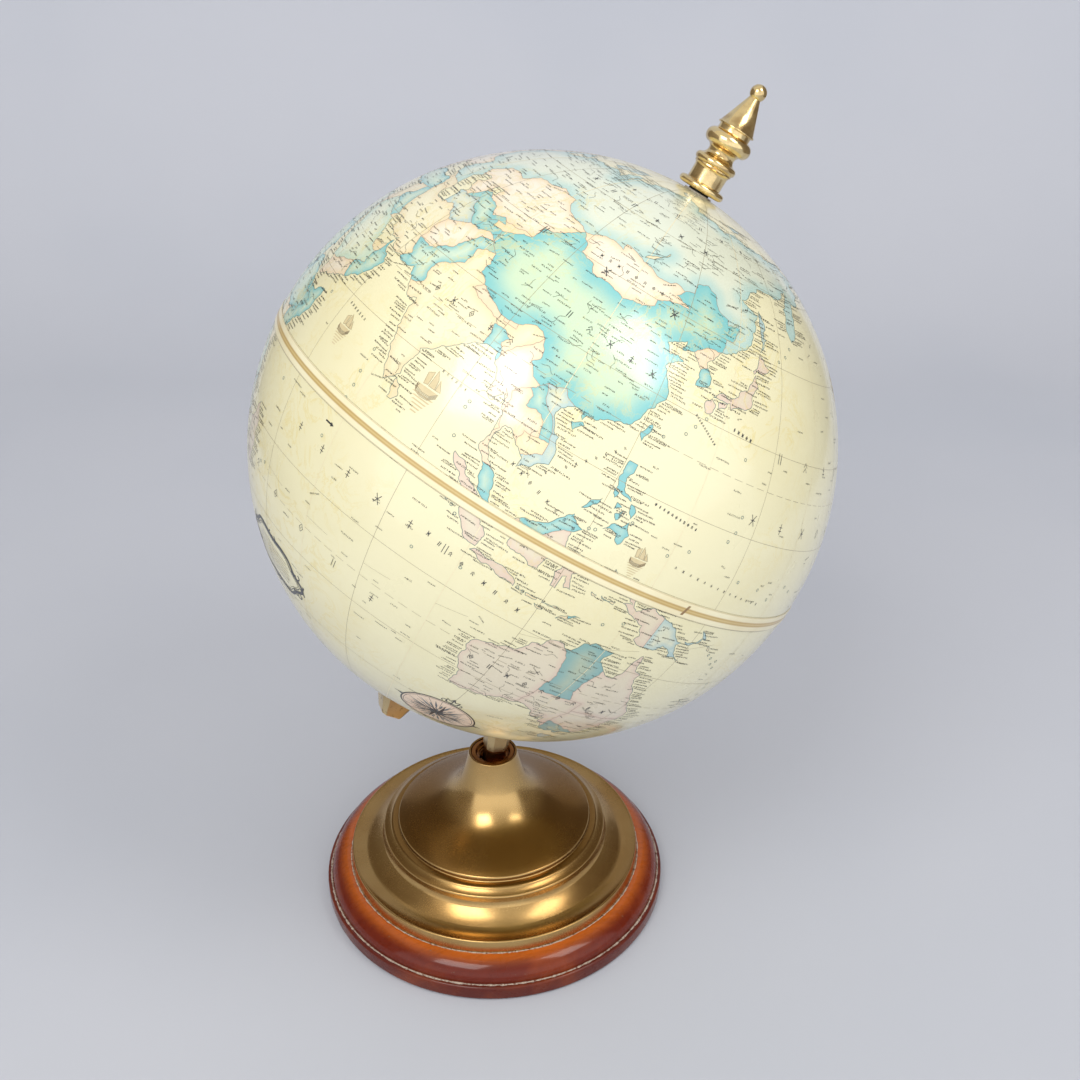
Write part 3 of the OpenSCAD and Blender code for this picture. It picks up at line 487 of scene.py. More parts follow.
BORDERS = """
124.2 39.9, 126.9 41.7, 128.3 42, 130.6 42.5; 130.6 42.5, 131.2 44.9, 133.1 45.1, 134.7 48.3,
131 47.7, 130.8 48.9, 127.6 49.8, 126 52.6, 123.3 53.5, 120.3 52.7, 119.9 50.3, 117.3 49.5;
117.3 49.5, 115.6 47.9, 119.8 46.7, 116 46.3, 111.9 45, 111.9 43.7, 109.4 42.5, 105 41.6,
101.8 42.5, 96.4 42.7, 95.3 44.2, 91 45.2, 90.9 46.9, 87.8 49.1; 87.8 49.1, 85.6 47.2,
82.6 45.2, 80.2 44.9, 80.2 42.1, 76.5 40.5, 73.9 39.6, 74.9 37.3; 74.9 37.3, 77.8 35.5,
78.9 33.5, 78.7 31.5, 81.2 30.1, 84.1 28.9, 86.9 27.9, 88.9 27.5, 91.7 27.8, 94.6 29.3,
97.3 28.2; 97.3 28.2, 98.7 25.1, 97.6 24, 99.3 22.1, 101.2 21.5, 102.1 22.4, 105.3 23.3,
106.7 22, 108.2 21.6; 87.8 49.1, 92.3 50.8, 98.3 50.3, 98 51.9, 102.2 51.3, 106.7 50.3,
110 49.2, 114.5 50.2, 117.3 49.5; 126.6 37.7, 128.4 38.6; 68.5 23.3, 71 24.4, 70 27.8, 72.9 30,
74.5 31, 74.6 32.8, 73.8 34.3, 77.8 35.5; 61.6 25.1, 63.3 26.7, 60.9 29.8, 66.3 29.9, 67.7 31.4,
69.4 32, 70.1 34, 71.6 36.4, 74.9 37.3; 61.2 35.4, 64.5 36.4, 66.5 37.4, 69.5 37.2, 71.4 38,
74.9 37.3; 60.9 29.8, 60.6 33.5, 61.2 35.4; 53.9 37.3, 57.3 38.1, 61.2 35.4; 46.8 48.4,
50.5 51.6, 58.6 51, 61.5 53.9, 70.8 55.2, 76.9 54.2, 80.1 51, 87.8 49.1; 49 46.2, 46.8 48.4;
53 41.8, 56 41.3, 58.5 45.5, 61 44.3, 66 42.9, 68 41, 70.9 42.2, 80.2 42.1; 56 41.3, 60 42.2,
62 40, 66.5 37.4; 67.8 37.2, 68 39.5, 70.5 40.9, 70.9 39.5, 73.9 39.6; 70.9 42.2, 73 40.9,
70.5 40.9; 81.2 30.1, 80.1 28.8, 84 27.4, 88.1 26.5, 88.1 27.9; 88.9 27.5, 89 26.9, 92 26.9,
91.7 27.8; 88.9 21.8, 88.7 24.2, 88.1 25.8, 89.8 25.9, 92.2 25, 91.3 23.8, 92.6 21.9, 92.3 20.8;
92.6 21.9, 93.3 23.5, 94.6 25, 97.3 28.2; 98.7 10.2, 99.4 12.5, 98.3 15, 97.8 18.4, 100.1 20.4,
101.2 21.5; 100.1 20.4, 101.2 19.5, 101 17.7, 102.8 18, 104.8 17, 105.6 14.4, 107.5 14.5,
106.8 16.6, 104.5 19, 103 21, 102.1 22.4; 105.6 14.4, 103 14.2, 102.6 12.5, 102.9 11.7;
107.5 14.5, 107.5 12.4, 106 11.6, 104.5 10.4; 100.1 6.5, 102.1 6.1; 109.6 2, 110.5 0.9,
113.9 1.3, 115.5 3, 117.8 4.2; 141 -2.6, 141 -9.1; 124.9 -9, 125.3 -9.5; 42.8 16.4, 46.5 17.2,
52 19, 53.1 16.7; 52 19, 55.2 20, 55 22.7, 55.8 24.9; 51.6 24.2, 52.6 22.9, 55.1 22.6; 35 29.4,
37.9 31.5, 39.2 32, 44.7 29.2, 48.4 28.5; 46.6 29.1, 47.9 30; 48.5 30, 46 33, 45.4 36,
44.8 37.2; 36 36, 38 36.8, 42.4 37.1, 44.8 37.2; 44.8 37.2, 44.5 39.8, 43.5 41.1, 41.5 41.5;
44.8 39.6, 48 39.6, 48.9 38.4; 40 43.4, 46.5 41.8, 48.5 41.8; 42.4 37.1, 41.2 34.4, 38.8 33.4,
39.2 32; 34.9 29.5, 35.6 32.7, 35.9 34.6; 129 -14.9, 129 -31.6; 129 -26, 138 -26; 138 -16.5,
138 -26, 141 -26, 141 -29, 141 -38; 141 -29, 149 -29, 153.5 -28.2; 141 -34, 143.3 -34.8,
146 -36, 148 -36.1, 150 -37.5; 30.5 69.6, 29 67, 31.3 62.8, 28 60.6; 27.5 59.4, 27.8 56,
31 53.2, 35.5 50.3, 40 49.5, 38.3 47.1; 11 59.2, 12.3 62, 14 64.5, 18 68.3, 24 68, 29 69.7;
24.2 65.8, 24 68; 14.3 53.9, 15 51, 19 49.5, 24 50.5, 23.5 54, 21 55.2; 15 51, 12.3 50.2,
13.8 48.7, 17 48.8, 19 49.5; 24 50.5, 22.5 48.1, 16.2 46.8, 13.8 45.6; 7 53.3, 6 50, 8.2 49,
7.6 47.6, 7 45.9, 7.5 43.8; 7.6 47.6, 13 47.4, 13.8 48.7; -1.8 43.4, 3.2 42.4; -8.8 41.9,
-6.3 41.6, -7.2 38.8, -7.4 37.2; 22.5 48.1, 28.2 45.5, 30 45.9; 22.7 44.2, 28.5 43.8; 22.4 42.3,
28 42; 19.3 46, 20.5 45.2, 22.7 44.2, 22.4 42.3, 20.5 41.9, 26.4 41.7; 25.1 31.6, 25 22,
31.5 22, 36.9 22; 25 22, 24 20, 16 23.5, 11.9 23.5, 9.5 30.3, 11.3 33.2; 9.5 30.3, 8 33, 8.5 37;
-1.7 35, -1.3 32.5, -8.7 28.7, -8.7 27.3, 3.2 19.2, 5.8 19.5, 11.9 23.5; -13 27.6, -8.7 27.3,
-8.7 26, -12 23.5, -13 21.4, -17 21.3; 24 20, 22.5 14, 22.9 11, 27 9.5, 33 10, 34.2 10.5,
36.4 14.3, 37 17, 38.5 18; 36.4 14.3, 40 14.5, 42.4 12.5; 43.3 11.5, 42.8 10.8, 44 9, 48 8,
45 5, 42 4.2, 41 2.8, 41 -1, 41.6 -1.7; 34.2 10.5, 33 7.8, 36 4.5, 39.5 3.5, 42 4.2; 34 4.2,
34 0, 33.9 -1, 37.6 -3, 39.2 -4.7; 30.8 3.5, 29.6 0.5, 29.3 -4.5, 30.5 -8.2, 28.5 -8.5,
29.8 -12.2, 24 -11, 22 -7.3, 16.5 -6, 12.3 -5.8; 27 9.5, 24.3 8.7, 18.6 4.4, 18 2, 16 -2,
13 -4.5; 14.5 13, 15.5 7.5, 18.6 4.4, 16 2.2, 9.8 2.3; 22.5 14, 14.5 13, 3.6 11.7, 2.7 6.3;
3.6 11.7, 4 16.8, 4.2 19.2; 0.3 15, -5.5 10.5, -8 10.2, -7.6 4.4; -12.3 14.8, -16.4 16; -3 10,
-3.1 5.1; 11.8 -17.2, 18.5 -17.4, 25.3 -17.8, 29 -15.6, 33 -14, 34.8 -11.6, 40.4 -10.6;
30.5 -8.2, 34.8 -11.6; 20 -17.5, 20 -22, 20 -28.4, 16.5 -28.6; 20 -24.8, 25.5 -25.7, 29.4 -22.2,
31.3 -22.4, 32.9 -26.8; 25.3 -17.8, 29.4 -22.2; 31.3 -22.4, 32.9 -16.7, 30.4 -15.6; 219 69.6,
219 60.3, 226 58.5, 230 55; 237 49, 265 49, 272 48, 277.5 46, 277 42.3, 285.2 45, 288.7 45.3,
292.2 47, 293 45.1; 243 32.5, 253.5 31.3, 256 29.5, 262.7 26; 268 18.1, 269.1 14.9; 250.5 60,
235.5 60, 224 60; 258 60, 258 49; 250 60, 250 49; 246 49, 240 54, 240 60; 265 49, 265 53,
271 57; 236 46.2, 243 46, 243 42; 235.7 42, 249 42, 249 37, 258 37; 255.9 49, 255.9 41, 258 41,
258 37, 265.4 36.5, 271 36.5, 284 36.5; 263.5 49, 263.5 43.5, 270.5 43.5; 265.4 36.5, 266 33,
266 30; 272 30.5, 272 35, 269.8 35; 274.5 31, 274.5 35; 272 36.5, 268.5 40.5; 279.4 42.2,
279.4 38, 277 37; 288.2 11.8, 287.3 7, 292.5 6.2, 293 1, 300 5.2, 298.8 8.1; 293 1, 290.5 -4.2,
284 0, 281.2 1.3; 284 0, 279.8 -3.4; 290.5 -4.2, 286 -7.5, 290.5 -11, 295 -12.5, 299.8 -16,
302.2 -22, 298 -22, 292.5 -22.8, 291 -17.5, 289.7 -18.3; 302.2 -22, 305.5 -25.5, 302 -27.3,
302.4 -30.2, 301.8 -34; 302.4 -30.2, 306.5 -33.8; 292.5 -22.8, 291 -30, 289 -36, 288.3 -44,
287 -50, 290.8 -52.2; 293 1, 300 1.8, 304 2, 308.6 4.2; 302.7 5.8, 303.5 2
"""

# Tiny islands, each drawn as a dot: longitude, latitude
ISLETS = """
73.3 4, 73.2 1.5, 72.9 6.5, 72.7 10.7, 72.3 -6.5, 55.5 -4.7, 57.6 -20.3, 55.5 -21.1, 92.8 12.2,
92.9 13.3, 93.8 7.5, 53.9 12.5, 69.5 -49.3, 105.6 -10.5, 96.8 -12.2, 115.2 -8.4, 116.3 -8.6,
124.2 24.4, 128 26.5, 129.3 28.3, 145.7 15.2, 144.8 13.4, 145.8 18, 134.5 7.5, 138 9.5,
151.7 7.4, 158.2 6.9, 163 5.3, 168 8, 171 7, 173 1.4, 167 -15.3, 168 -16.5, 169.3 -19, 157 -7.5,
158.5 -8.2, 160 -9.6, 161 -8.8, 161.8 -10.5, 149 46, 152 47.5, 154.5 49.5, 131 30.3, 142.2 27,
188 -13.7, 210.5 -17.6, 202 21.4, 203.7 20.8, 220 -9, 179.3 -16.6, 184.8 -21, 185 -15, 166 -0.5,
126 9.9, 120 6, 121 6.3, 122 24.4, 98 -1.5, 97.5 1, 99.2 -2, 100.4 -3, 134.5 -6.2, 131.3 -7.8,
45 -12, 43.5 -11.8, 39.4 -6.1, 334 38.6, -25 15.5, -16.5 28.3, -14.3 -8, 302 15, 299 13, 298.5 16.5,
269.5 -0.5, 270 0.3, 251 -27
"""

# Tint of the country round each place: edge colour, middle colour, how many degrees the edge
# colour takes to fade, places
TINTS = {
    "china": ((126, 198, 196), (206, 226, 190), 5.0, "105 32"),
    "siberia": ((184, 214, 202), (228, 231, 206), 3.5, "100 62"),
    "turquoise": ((132, 196, 194), (210, 227, 198), 1.5,
                  "68 28, 57 21, 46 7, 48.3 6.8, 63.5 41.5, 69.5 38.5, 90 24, 103.5 19, 102 4,"
                  "114 3, 116.5 5.5, 121 24, 110 19, 127.5 36, 121 17, 125 11.3, 122.5 11.3,"
                  "123 10.2, 125 7.5, 118.8 10, 121 13, 125.7 -9.04, 43.5 33, 35 39, 29.8 16,"
                  "9 51, -5 40, 260 24, 284.8 41.2"),
    "blue_grey": ((136, 180, 174), (190, 198, 166), 4.0, "133 -20, 144.5 -37"),
    "pale_blue": ((182, 206, 200), (226, 226, 196), 1.2,
                  "58 38.7, 144.5 -6.2, 150.5 -5.7, 151.8 -3.6, 107.5 11.5, 142.7 50,"
                  "147 -42, 66 75, 15 79, 100 79.5, 142 75, 250 65, 248 71, 290 67.5, 35.2 -17,"
                  "10.4 7.6, 300 -35"),
    "green": ((200, 222, 196), (232, 234, 200), 2.6,
              "45 24, 30 27, 25 0, 3 47, 15 62, 305 -10, 24 -30, 208 66, -6.4 14.4, 17 -22.3,"
              "278.6 32, 299.3 3.8"),
    "peach": ((242, 217, 180), (246, 234, 208), 1.6,
              "103 46.5, 67 48, 65 34, 95 21, 83.5 28.2, 90.5 27.3, 47 15, 100 16, 127 40.3,"
              "20 52, 17 15, 12.5 42.8, 292 8, 21.9 -12.1, 29.3 -18.7, 29.4 51.1, 13.5 -0.4,"
              "252.4 34.7, 282.1 7.6"),
    "cream": ((240, 220, 176), (244, 234, 194), 1.6,
              "78 22, 53 33, 105 13, 81 8, 74.5 41.5, 250 44, 284 -8, 19.6 10, 38 0.4"),
    "pink": ((230, 206, 182), (231, 218, 188), 1.2,
             "120 -26, 134 -30, 145 -23, 147 -32, 140 37, 143 43.5, 131 32.7, 133.7 33.7, 113 -1,"
             "100 1, 110 -7, 120 -3, 136 -4, 0 30, 47 -20, 173 -43, 176 -39, 25 61,"
             "288.7 19, 18.4 27.3, 24 -21.4, 22.3 43.4, 14.9 64.7, 270.1 33.1, 289 -37.2"),
    "ice": ((240, 240, 232), (246, 245, 236), 2.0, "-24 75, 315 75, 90 -80"),
    "sea": ((242, 233, 189), (242, 233, 189), 1.0,
            "75 -25, 200 0, 320 20, 51 42, 34 43, 60 45.3, 106.9 53.35, 20 57.5, 33 -1, 272 47.6,"
            "273.5 44, 278 45, 90 80, 39 16, 52 27, 5 40, 280 60, 290 75, 250 76, 36.5 46.2"),
}

# ---------------------------------------------------------------- map geometry
def read_lines(text, closed=False):
    """Lists of (longitude, latitude), where a semicolon ends a line."""
    lines = [[tuple(map(float, p.split())) for p in part.split(",")] for part in text.split(";")]
    return [line + [line[0]] if closed else line for line in lines]


def crinkle(line, rng, sharp=0.17, finest=0.7):
    """Adds bays and headlands between a coast's corners. Straight north-south or
    east-west stretches stay straight, as ruled borders are."""
    def span(a, b):
        narrow = math.cos(math.radians((a[1] + b[1]) / 2))
        dx, dy = b[0] - a[0], b[1] - a[1]
        if dx == 0 or dy == 0 or math.hypot(dx * narrow, dy) < finest:
            return [b]
        push = rng.uniform(-sharp, sharp)
        mid = ((a[0] + b[0]) / 2 - dy * push / narrow, (a[1] + b[1]) / 2 + dx * narrow * push)
        return span(a, mid) + span(mid, b)

    out = [line[0]]
    for a, b in zip(line, line[1:]):
        out += span(a, b)
    return out


def outward(lonlat):
    """Directions from the ball's centre, for an array of longitudes and latitudes."""
    lon, lat = np.radians(np.asarray(lonlat, float).reshape(-1, 2)).T
    flat = np.cos(lat)
    return np.stack([flat * np.cos(lon), flat * np.sin(lon), np.sin(lat)], axis=1)


def on_globe(lonlat, radius):
    """Points of the ball, in metres, for an array of longitudes and latitudes."""
    return outward(lonlat) * radius * MM


def local_to_globe(lon, lat, xy, radius):
    """Points xy (mm east and north of a place) laid onto the ball."""
    place = outward([(lon, lat)])[0]
    east = np.array([-math.sin(math.radians(lon)), math.cos(math.radians(lon)), 0.0])
    north = np.cross(place, east)
    xy = np.asarray(xy, float).reshape(-1, 2)
    points = place * GLOBE_R + xy[:, :1] * east + xy[:, 1:] * north
    return points / np.linalg.norm(points, axis=1)[:, None] * radius * MM


class Ink:
    """Thin printed strokes that lie on the ball, gathered into one mesh."""

    def __init__(self, layer):
        self.radius = GLOBE_R + INK_LIFT * layer
        self.verts = []
        self.faces = []

    def stroke(self, points, width):
        """A ribbon of that width, in mm, along points on the ball."""
        p = np.asarray(points)
        ahead = np.roll(p, -1, axis=0)
        behind = np.roll(p, 1, axis=0)
        ahead[-1] = p[-1]
        behind[0] = p[0]
        side = np.cross(p, ahead - behind)
        side /= np.maximum(np.linalg.norm(side, axis=1), 1e-12)[:, None]
        side *= width * MM / 2
        first = len(self.verts)
        for a, b in zip(p + side, p - side):
            self.verts += [tuple(a), tuple(b)]
        for i in range(first, first + 2 * len(p) - 2, 2):
            self.faces.append((i, i + 1, i + 3, i + 2))

    def path(self, lonlat, width):
        """A ribbon along longitudes and latitudes."""
        self.stroke(on_globe(lonlat, self.radius), width)

    def draw(self, lon, lat, xy, width, turn=0.0):
        """A stroke given in mm round a place, turned anticlockwise by degrees."""
        fine = [xy[0]]
        for a, b in zip(xy, xy[1:]):
            steps = max(1, math.ceil(math.dist(a, b) / 3))
            fine += [(a[0] + (b[0] - a[0]) * k / steps, a[1] + (b[1] - a[1]) * k / steps)
                     for k in range(1, steps + 1)]
        c, s = math.cos(math.radians(turn)), math.sin(math.radians(turn))
        fine = np.asarray(fine, float) @ np.array([[c, s], [-s, c]])
        self.stroke(local_to_globe(lon, lat, fine, self.radius), width)

    def patch(self, lon, lat, xy, finest=2.5):
        """A filled convex outline, in mm round a place, split finely enough to follow the
        ball. Its corners run anticlockwise."""
        xy = np.asarray(xy, float)
        middle = xy.mean(axis=0)
        for a, b in zip(xy, np.roll(xy, -1, axis=0)):
            longest = max(np.linalg.norm(b - a), np.linalg.norm(a - middle))
            steps = max(1, math.ceil(longest / finest))
            grid = {}
            for i in range(steps + 1):
                for j in range(steps + 1 - i):
                    grid[i, j] = len(self.verts) + len(grid)
            inner = [middle + (a - middle) * i / steps + (b - middle) * j / steps for i, j in grid]
            self.verts += [tuple(v) for v in local_to_globe(lon, lat, inner, self.radius)]
            for i in range(steps):
                for j in range(steps - i):
                    self.faces.append((grid[i, j], grid[i + 1, j], grid[i, j + 1]))
                    if j < steps - i - 1:
                        self.faces.append((grid[i + 1, j], grid[i + 1, j + 1], grid[i, j + 1]))

    def piece(self, name, material, slot="map_paper"):
        """Makes one piece of all that was drawn."""
        mesh = bpy.data.meshes.new(name)
        mesh.from_pydata(self.verts, [], self.faces)
        mesh.materials.append(material)
        mesh.validate()
        return place(mesh, name, BALL, "ball", slot)


def place(mesh, name, matrix, body, slot):
    """Makes a piece of a mesh that was drawn at matrix, and lets it ride on a body."""
    mesh.transform(matrix)
    ob = bpy.data.objects.new(name, mesh)
    bpy.context.scene.collection.objects.link(ob)
    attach(ob, body)
    return ob


def finished_mesh(bm, name, material, sharp=180.0):
    """A smooth mesh from bm, with its edges sharper than that many degrees kept sharp."""
    mesh = bpy.data.meshes.new(name)
    bm.to_mesh(mesh)
    bm.free()
    mesh.shade_smooth()
    if sharp < 180.0:
        mesh.set_sharp_from_angle(angle=math.radians(sharp))
    mesh.materials.append(material)
    return mesh


def join_ends(line, corners, close=1.6):
    """Moves a border's two ends to the nearest corner already drawn, if it is that close."""
    line = list(line)
    for i in (0, -1):
        gap = np.hypot(corners[:, 0] - line[i][0], corners[:, 1] - line[i][1])
        if gap.min() < close:
            line[i] = tuple(corners[gap.argmin()])
    return line


def map_lines():
    """Every coast and every border, with its bays added."""
    rng = random.Random(11)
    coasts = [crinkle(line, rng) for line in read_lines(CONTINENTS) + read_lines(ICE)]
    coasts += [crinkle(line, rng) for line in read_lines(ISLANDS, closed=True)]
    borders = []
    corners = np.array([p for line in coasts for p in line])
    for line in read_lines(BORDERS):
        line = crinkle(join_ends(line, corners), rng, 0.13)
        borders.append(line)
        corners = np.concatenate([corners, np.array(line)])
    return coasts, borders


def tree_of(directions):
    """A tree that finds the nearest of those directions."""
    tree = KDTree(len(directions))
    for i, p in enumerate(directions):
        tree.insert(p, i)
    tree.balance()
    return tree


def map_grid(lines, spacing=1.15, clear=0.4):
    """Evenly spread points of the whole map, except right beside a line."""
    tree = tree_of(np.concatenate([outward(line) for line in lines]))
    points = []
    rows = 2 * round(POLE_LATITUDE / spacing)
    for i in range(rows + 1):
        lat = -POLE_LATITUDE + 2 * POLE_LATITUDE * i / rows
        columns = max(24, round(360 * math.cos(math.radians(lat)) / spacing))
        for j in range(columns + 1):
            shift = 0.5 if i % 2 and 0 < j < columns else 0.0
            lon = WEST_EDGE + 360 * (j - shift) / columns
            edge = j in (0, columns) or i in (0, rows)
            if edge or tree.find(outward([(lon, lat)])[0])[2] > math.radians(clear):
                points.append((lon, lat))
    return points


def triangulate(lines, grid):
    """One triangulation of the map whose edges follow every line."""
    index = {}
    points = []

    def number(p):
        key = (round(p[0], 5), round(p[1], 5))
        if key not in index:
            index[key] = len(points)
            points.append(Vector(key))
        return index[key]

    edges = []
    for line in lines:
        ids = [number(p) for p in line]
        edges += [(a, b) for a, b in zip(ids, ids[1:]) if a != b]
    for p in grid:
        number(p)
    verts, cut_edges, faces, _, origin, _ = delaunay_2d_cdt(points, edges, [], 0, 1e-6)
    walls = {tuple(sorted(e)) for e, o in zip(cut_edges, origin) if o}
    return np.array([tuple(v) for v in verts]), [tuple(f) for f in faces], walls


def regions(faces, walls):
    """Numbers the areas that the lines close off: one number for each face."""
    sides = {}
    for i, f in enumerate(faces):
        for a, b in zip(f, f[1:] + f[:1]):
            sides.setdefault((min(a, b), max(a, b)), []).append(i)
    area = [-1] * len(faces)
    for start in range(len(faces)):
        if area[start] >= 0:
            continue
        area[start] = start
        todo = [start]
        while todo:
            f = faces[todo.pop()]
            for a, b in zip(f, f[1:] + f[:1]):
                key = (min(a, b), max(a, b))
                if key in walls:
                    continue
                for other in sides[key]:
                    if area[other] < 0:
                        area[other] = start
                        todo.append(other)
    return np.array(area)


def area_tints(verts, faces, area):
    """Which tint each area has, from the places named in TINTS."""
    corners = verts[np.array(faces)]
    a, b, c = corners[:, 0], corners[:, 1], corners[:, 2]
    tint = {}
    for name, row in TINTS.items():
        for p in read_lines(row[3])[0]:
            inside = np.ones(len(faces), bool)
            for u, v in ((a, b), (b, c), (c, a)):
                turn = ((v[:, 0] - u[:, 0]) * (p[1] - u[:, 1])
                        - (v[:, 1] - u[:, 1]) * (p[0] - u[:, 0]))
                inside &= turn >= -1e-9
            for i in np.nonzero(inside)[0]:
                tint.setdefault(area[i], name)
    return [tint.get(i, "cream") for i in area]


def border_distance(verts, lines):
    """How far each point of the map is from the nearest line, in degrees."""
    dense = []
    for line in lines:
        for a, b in zip(line, line[1:]):
            steps = max(1, int(math.hypot(b[0] - a[0], b[1] - a[1]) / 0.5))
            dense += [(a[0] + (b[0] - a[0]) * k / steps, a[1] + (b[1] - a[1]) * k / steps)
                      for k in range(steps + 1)]
    tree = tree_of(outward(dense))
    return np.array([math.degrees(tree.find(p)[2]) for p in outward(verts)])


VARNISH = np.array((0.92, 0.95, 0.99, 1))  # what the varnish leaves of every tint
SOUTH_PAINTED_SHADE = np.array((0.18, 0.24, 0.42, 0))  # painted shade of the underside, taken off each tint at the south pole
PAPER = 0.25  # mm, with its pulp
EQUATOR_STEPS = 313
SAME_POINT = 0.02  # mm, closer points are one


def print_map():
    """The two printed halves, tinted country by country. Returns what the ink needs."""
    coasts, borders = map_lines()
    lines = coasts + borders
    equator = [(WEST_EDGE + 360 * i / EQUATOR_STEPS, 0.0) for i in range(EQUATOR_STEPS + 1)]
    verts, faces, walls = triangulate(lines + [equator], map_grid(lines))
    on_equator = {e for e in walls if abs(verts[e[0]][1]) < 1e-4 and abs(verts[e[1]][1]) < 1e-4}
    area = regions(faces, walls - on_equator)
    tint = area_tints(verts, faces, area)
    distance = border_distance(verts, lines)
    low = np.clip((-50 - verts[:, 1]) / 30, 0, 1)[:, None]  # painted shade: darker and yellower towards the south pole
    shades = {}
    for name, (edge, middle, fade, _) in TINTS.items():
        far = np.clip(distance / fade, 0, 1)[:, None]
        blend = far * far * (3 - 2 * far)
        shades[name] = np.array(srgb(*edge)) * (1 - blend) + np.array(srgb(*middle)) * blend
        shades[name] *= VARNISH * (1 - low * SOUTH_PAINTED_SHADE)
    world = on_globe(verts, GLOBE_R)
    north = np.array([sum(verts[i][1] for i in f) > 0 for f in faces])
    for name, node, half in (("print_north", "map_north", north),
                             ("print_south", "map_south", ~north)):
        chosen = np.nonzero(half)[0]
        used = sorted({v for i in chosen for v in faces[i]})
        new = {v: k for k, v in enumerate(used)}
        mesh = bpy.data.meshes.new(name)
        mesh.from_pydata([tuple(world[v]) for v in used], [],
                         [tuple(new[v] for v in faces[i]) for i in chosen])
        colours = mesh.color_attributes.new("tint", "FLOAT_COLOR", "CORNER")
        values = [shades[tint[i]][v] for i in chosen for v in faces[i]]
        colours.data.foreach_set("color", np.array(values, np.float32).ravel())
        bm = bmesh.new()
        bm.from_mesh(mesh)
        bmesh.ops.remove_doubles(bm, verts=bm.verts, dist=SAME_POINT * MM)
        bm.to_mesh(mesh)
        bm.free()
        mesh.shade_smooth()
        mesh.materials.append(MATERIALS["map_paper"])
        ob = place(mesh, name, BALL, "ball", "map_paper")
        skin = ob.modifiers.new("paper", "SOLIDIFY")
        skin.thickness = PAPER * MM
        skin.offset = -1
        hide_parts(node)
    sea = np.array([t == "sea" for t in tint])
    return coasts, borders, verts, faces, sea


# ---------------------------------------------------------------- what is printed over the map
# Small marks in a unit square that read as print from a distance, and are no letters.
SMALL_MARKS = (
    ((0.0, 0.0), (0.05, 0.7)), ((0.3, 0.0), (0.3, 0.65)), ((0.0, 0.62), (0.5, 0.55)),
    ((0.1, 0.02), (0.55, 0.1)), ((0.5, 0.05), (0.45, 0.68)), ((0.0, 0.35), (0.5, 0.3)),
)
# Ornaments that stand where the big spaced names are: lozenges, bars, chevrons and crosses.
BIG_MARKS = (
    (((0.0, 0.5), (0.3, 1.0), (0.6, 0.5), (0.3, 0.0), (0.0, 0.5)), ((0.3, 0.35), (0.3, 0.65))),
    (((0.12, 0.0), (0.12, 1.0)), ((0.46, 0.0), (0.46, 1.0))),
    (((0.0, 0.1), (0.3, 0.5), (0.6, 0.1)), ((0.0, 0.55), (0.3, 0.95), (0.6, 0.55))),
    (((0.3, 0.0), (0.3, 1.0)), ((0.05, 0.33), (0.55, 0.33)), ((0.05, 0.67), (0.55, 0.67))),
    (((0.0, 0.0), (0.6, 1.0)), ((0.6, 0.0), (0.0, 1.0)), ((0.0, 0.5), (0.6, 0.5))),
)
# Rows of big marks: first and last place, how many, height in mm, stroke in mm
BIG_ROWS = (
    ((79.7, 43.9), (116.1, 43.3), 3, 4.4, 0.42), ((97.6, 33.4), (117.0, 32.0), 5, 3.4, 0.36),
    ((74.1, 24.4), (92.1, 24.1), 5, 3.2, 0.34), ((68.3, 62.0), (119.5, 60.5), 6, 3.2, 0.34),
    ((70.0, 66.0), (150.0, 67.0), 8, 2.6, 0.26), ((115.3, -26.2), (147.0, -27.5), 9, 3.0, 0.4),
    ((66.0, -9.0), (101.4, -10.0), 6, 4.6, 0.3), ((53.5, -22.8), (93.2, -27.3), 5, 4.6, 0.3),
    ((151.0, 28.5), (190.0, 28.5), 5, 5.0, 0.3), ((148.0, 17.2), (200.0, 17.2), 7, 5.0, 0.3),
    ((98.0, -8.8), (117.0, -12.5), 9, 2.2, 0.34), ((104.0, 8.6), (117.5, 4.5), 8, 1.8, 0.26),
    ((128.0, 14.0), (137.0, 13.0), 11, 1.4, 0.3), ((109.5, 10.0), (119.0, 19.5), 9, 1.5, 0.2),
    ((95.0, 46.4), (112.0, 46.2), 8, 1.9, 0.28), ((61.0, 13.5), (66.5, 13.0), 7, 1.5, 0.18),
    ((128.5, 30.0), (134.0, 27.0), 12, 1.2, 0.2), ((137.5, 30.5), (142.0, 30.0), 5, 1.7, 0.34),
    ((86.0, 14.6), (91.0, 14.2), 6, 1.4, 0.16), ((137.0, 6.0), (160.0, 4.0), 14, 1.3, 0.22),
    ((10.0, 12.0), (35.0, 12.0), 6, 4.0, 0.4), ((245.0, 50.0), (280.0, 50.0), 7, 4.0, 0.4),
    ((290.0, -4.0), (315.0, -12.0), 6, 4.0, 0.4), ((215.0, -15.0), (260.0, -15.0), 7, 5.0, 0.3),
    ((-20.0, -15.0), (5.0, -15.0), 6, 4.6, 0.3), ((5.0, 49.0), (38.0, 52.0), 6, 3.4, 0.34),
)


def sea_lookup(verts, faces, sea):
    """A quick table, half a degree a cell, of where the map shows sea."""
    fine = 2  # cells per degree
    west, south, around = 30 * fine, 90 * fine, 360 * fine
    table = np.zeros((2 * south + 1, around + 1), bool)
    corners = verts[np.array(faces)]
    for tri in corners[sea]:
        low = np.floor(tri.min(axis=0) * fine).astype(int)
        high = np.ceil(tri.max(axis=0) * fine).astype(int)
        table[low[1] + south:high[1] + south + 1, low[0] + west:high[0] + west + 1] = True
    for tri in corners[~sea]:
        x, y = tri.mean(axis=0)
        table[int(round(y * fine)) + south, int(round(x * fine)) + west] = False

    def is_sea(lon, lat):
        return bool(table[round(lat * fine) + south, round((lon - WEST_EDGE) * fine) % around])
    return is_sea


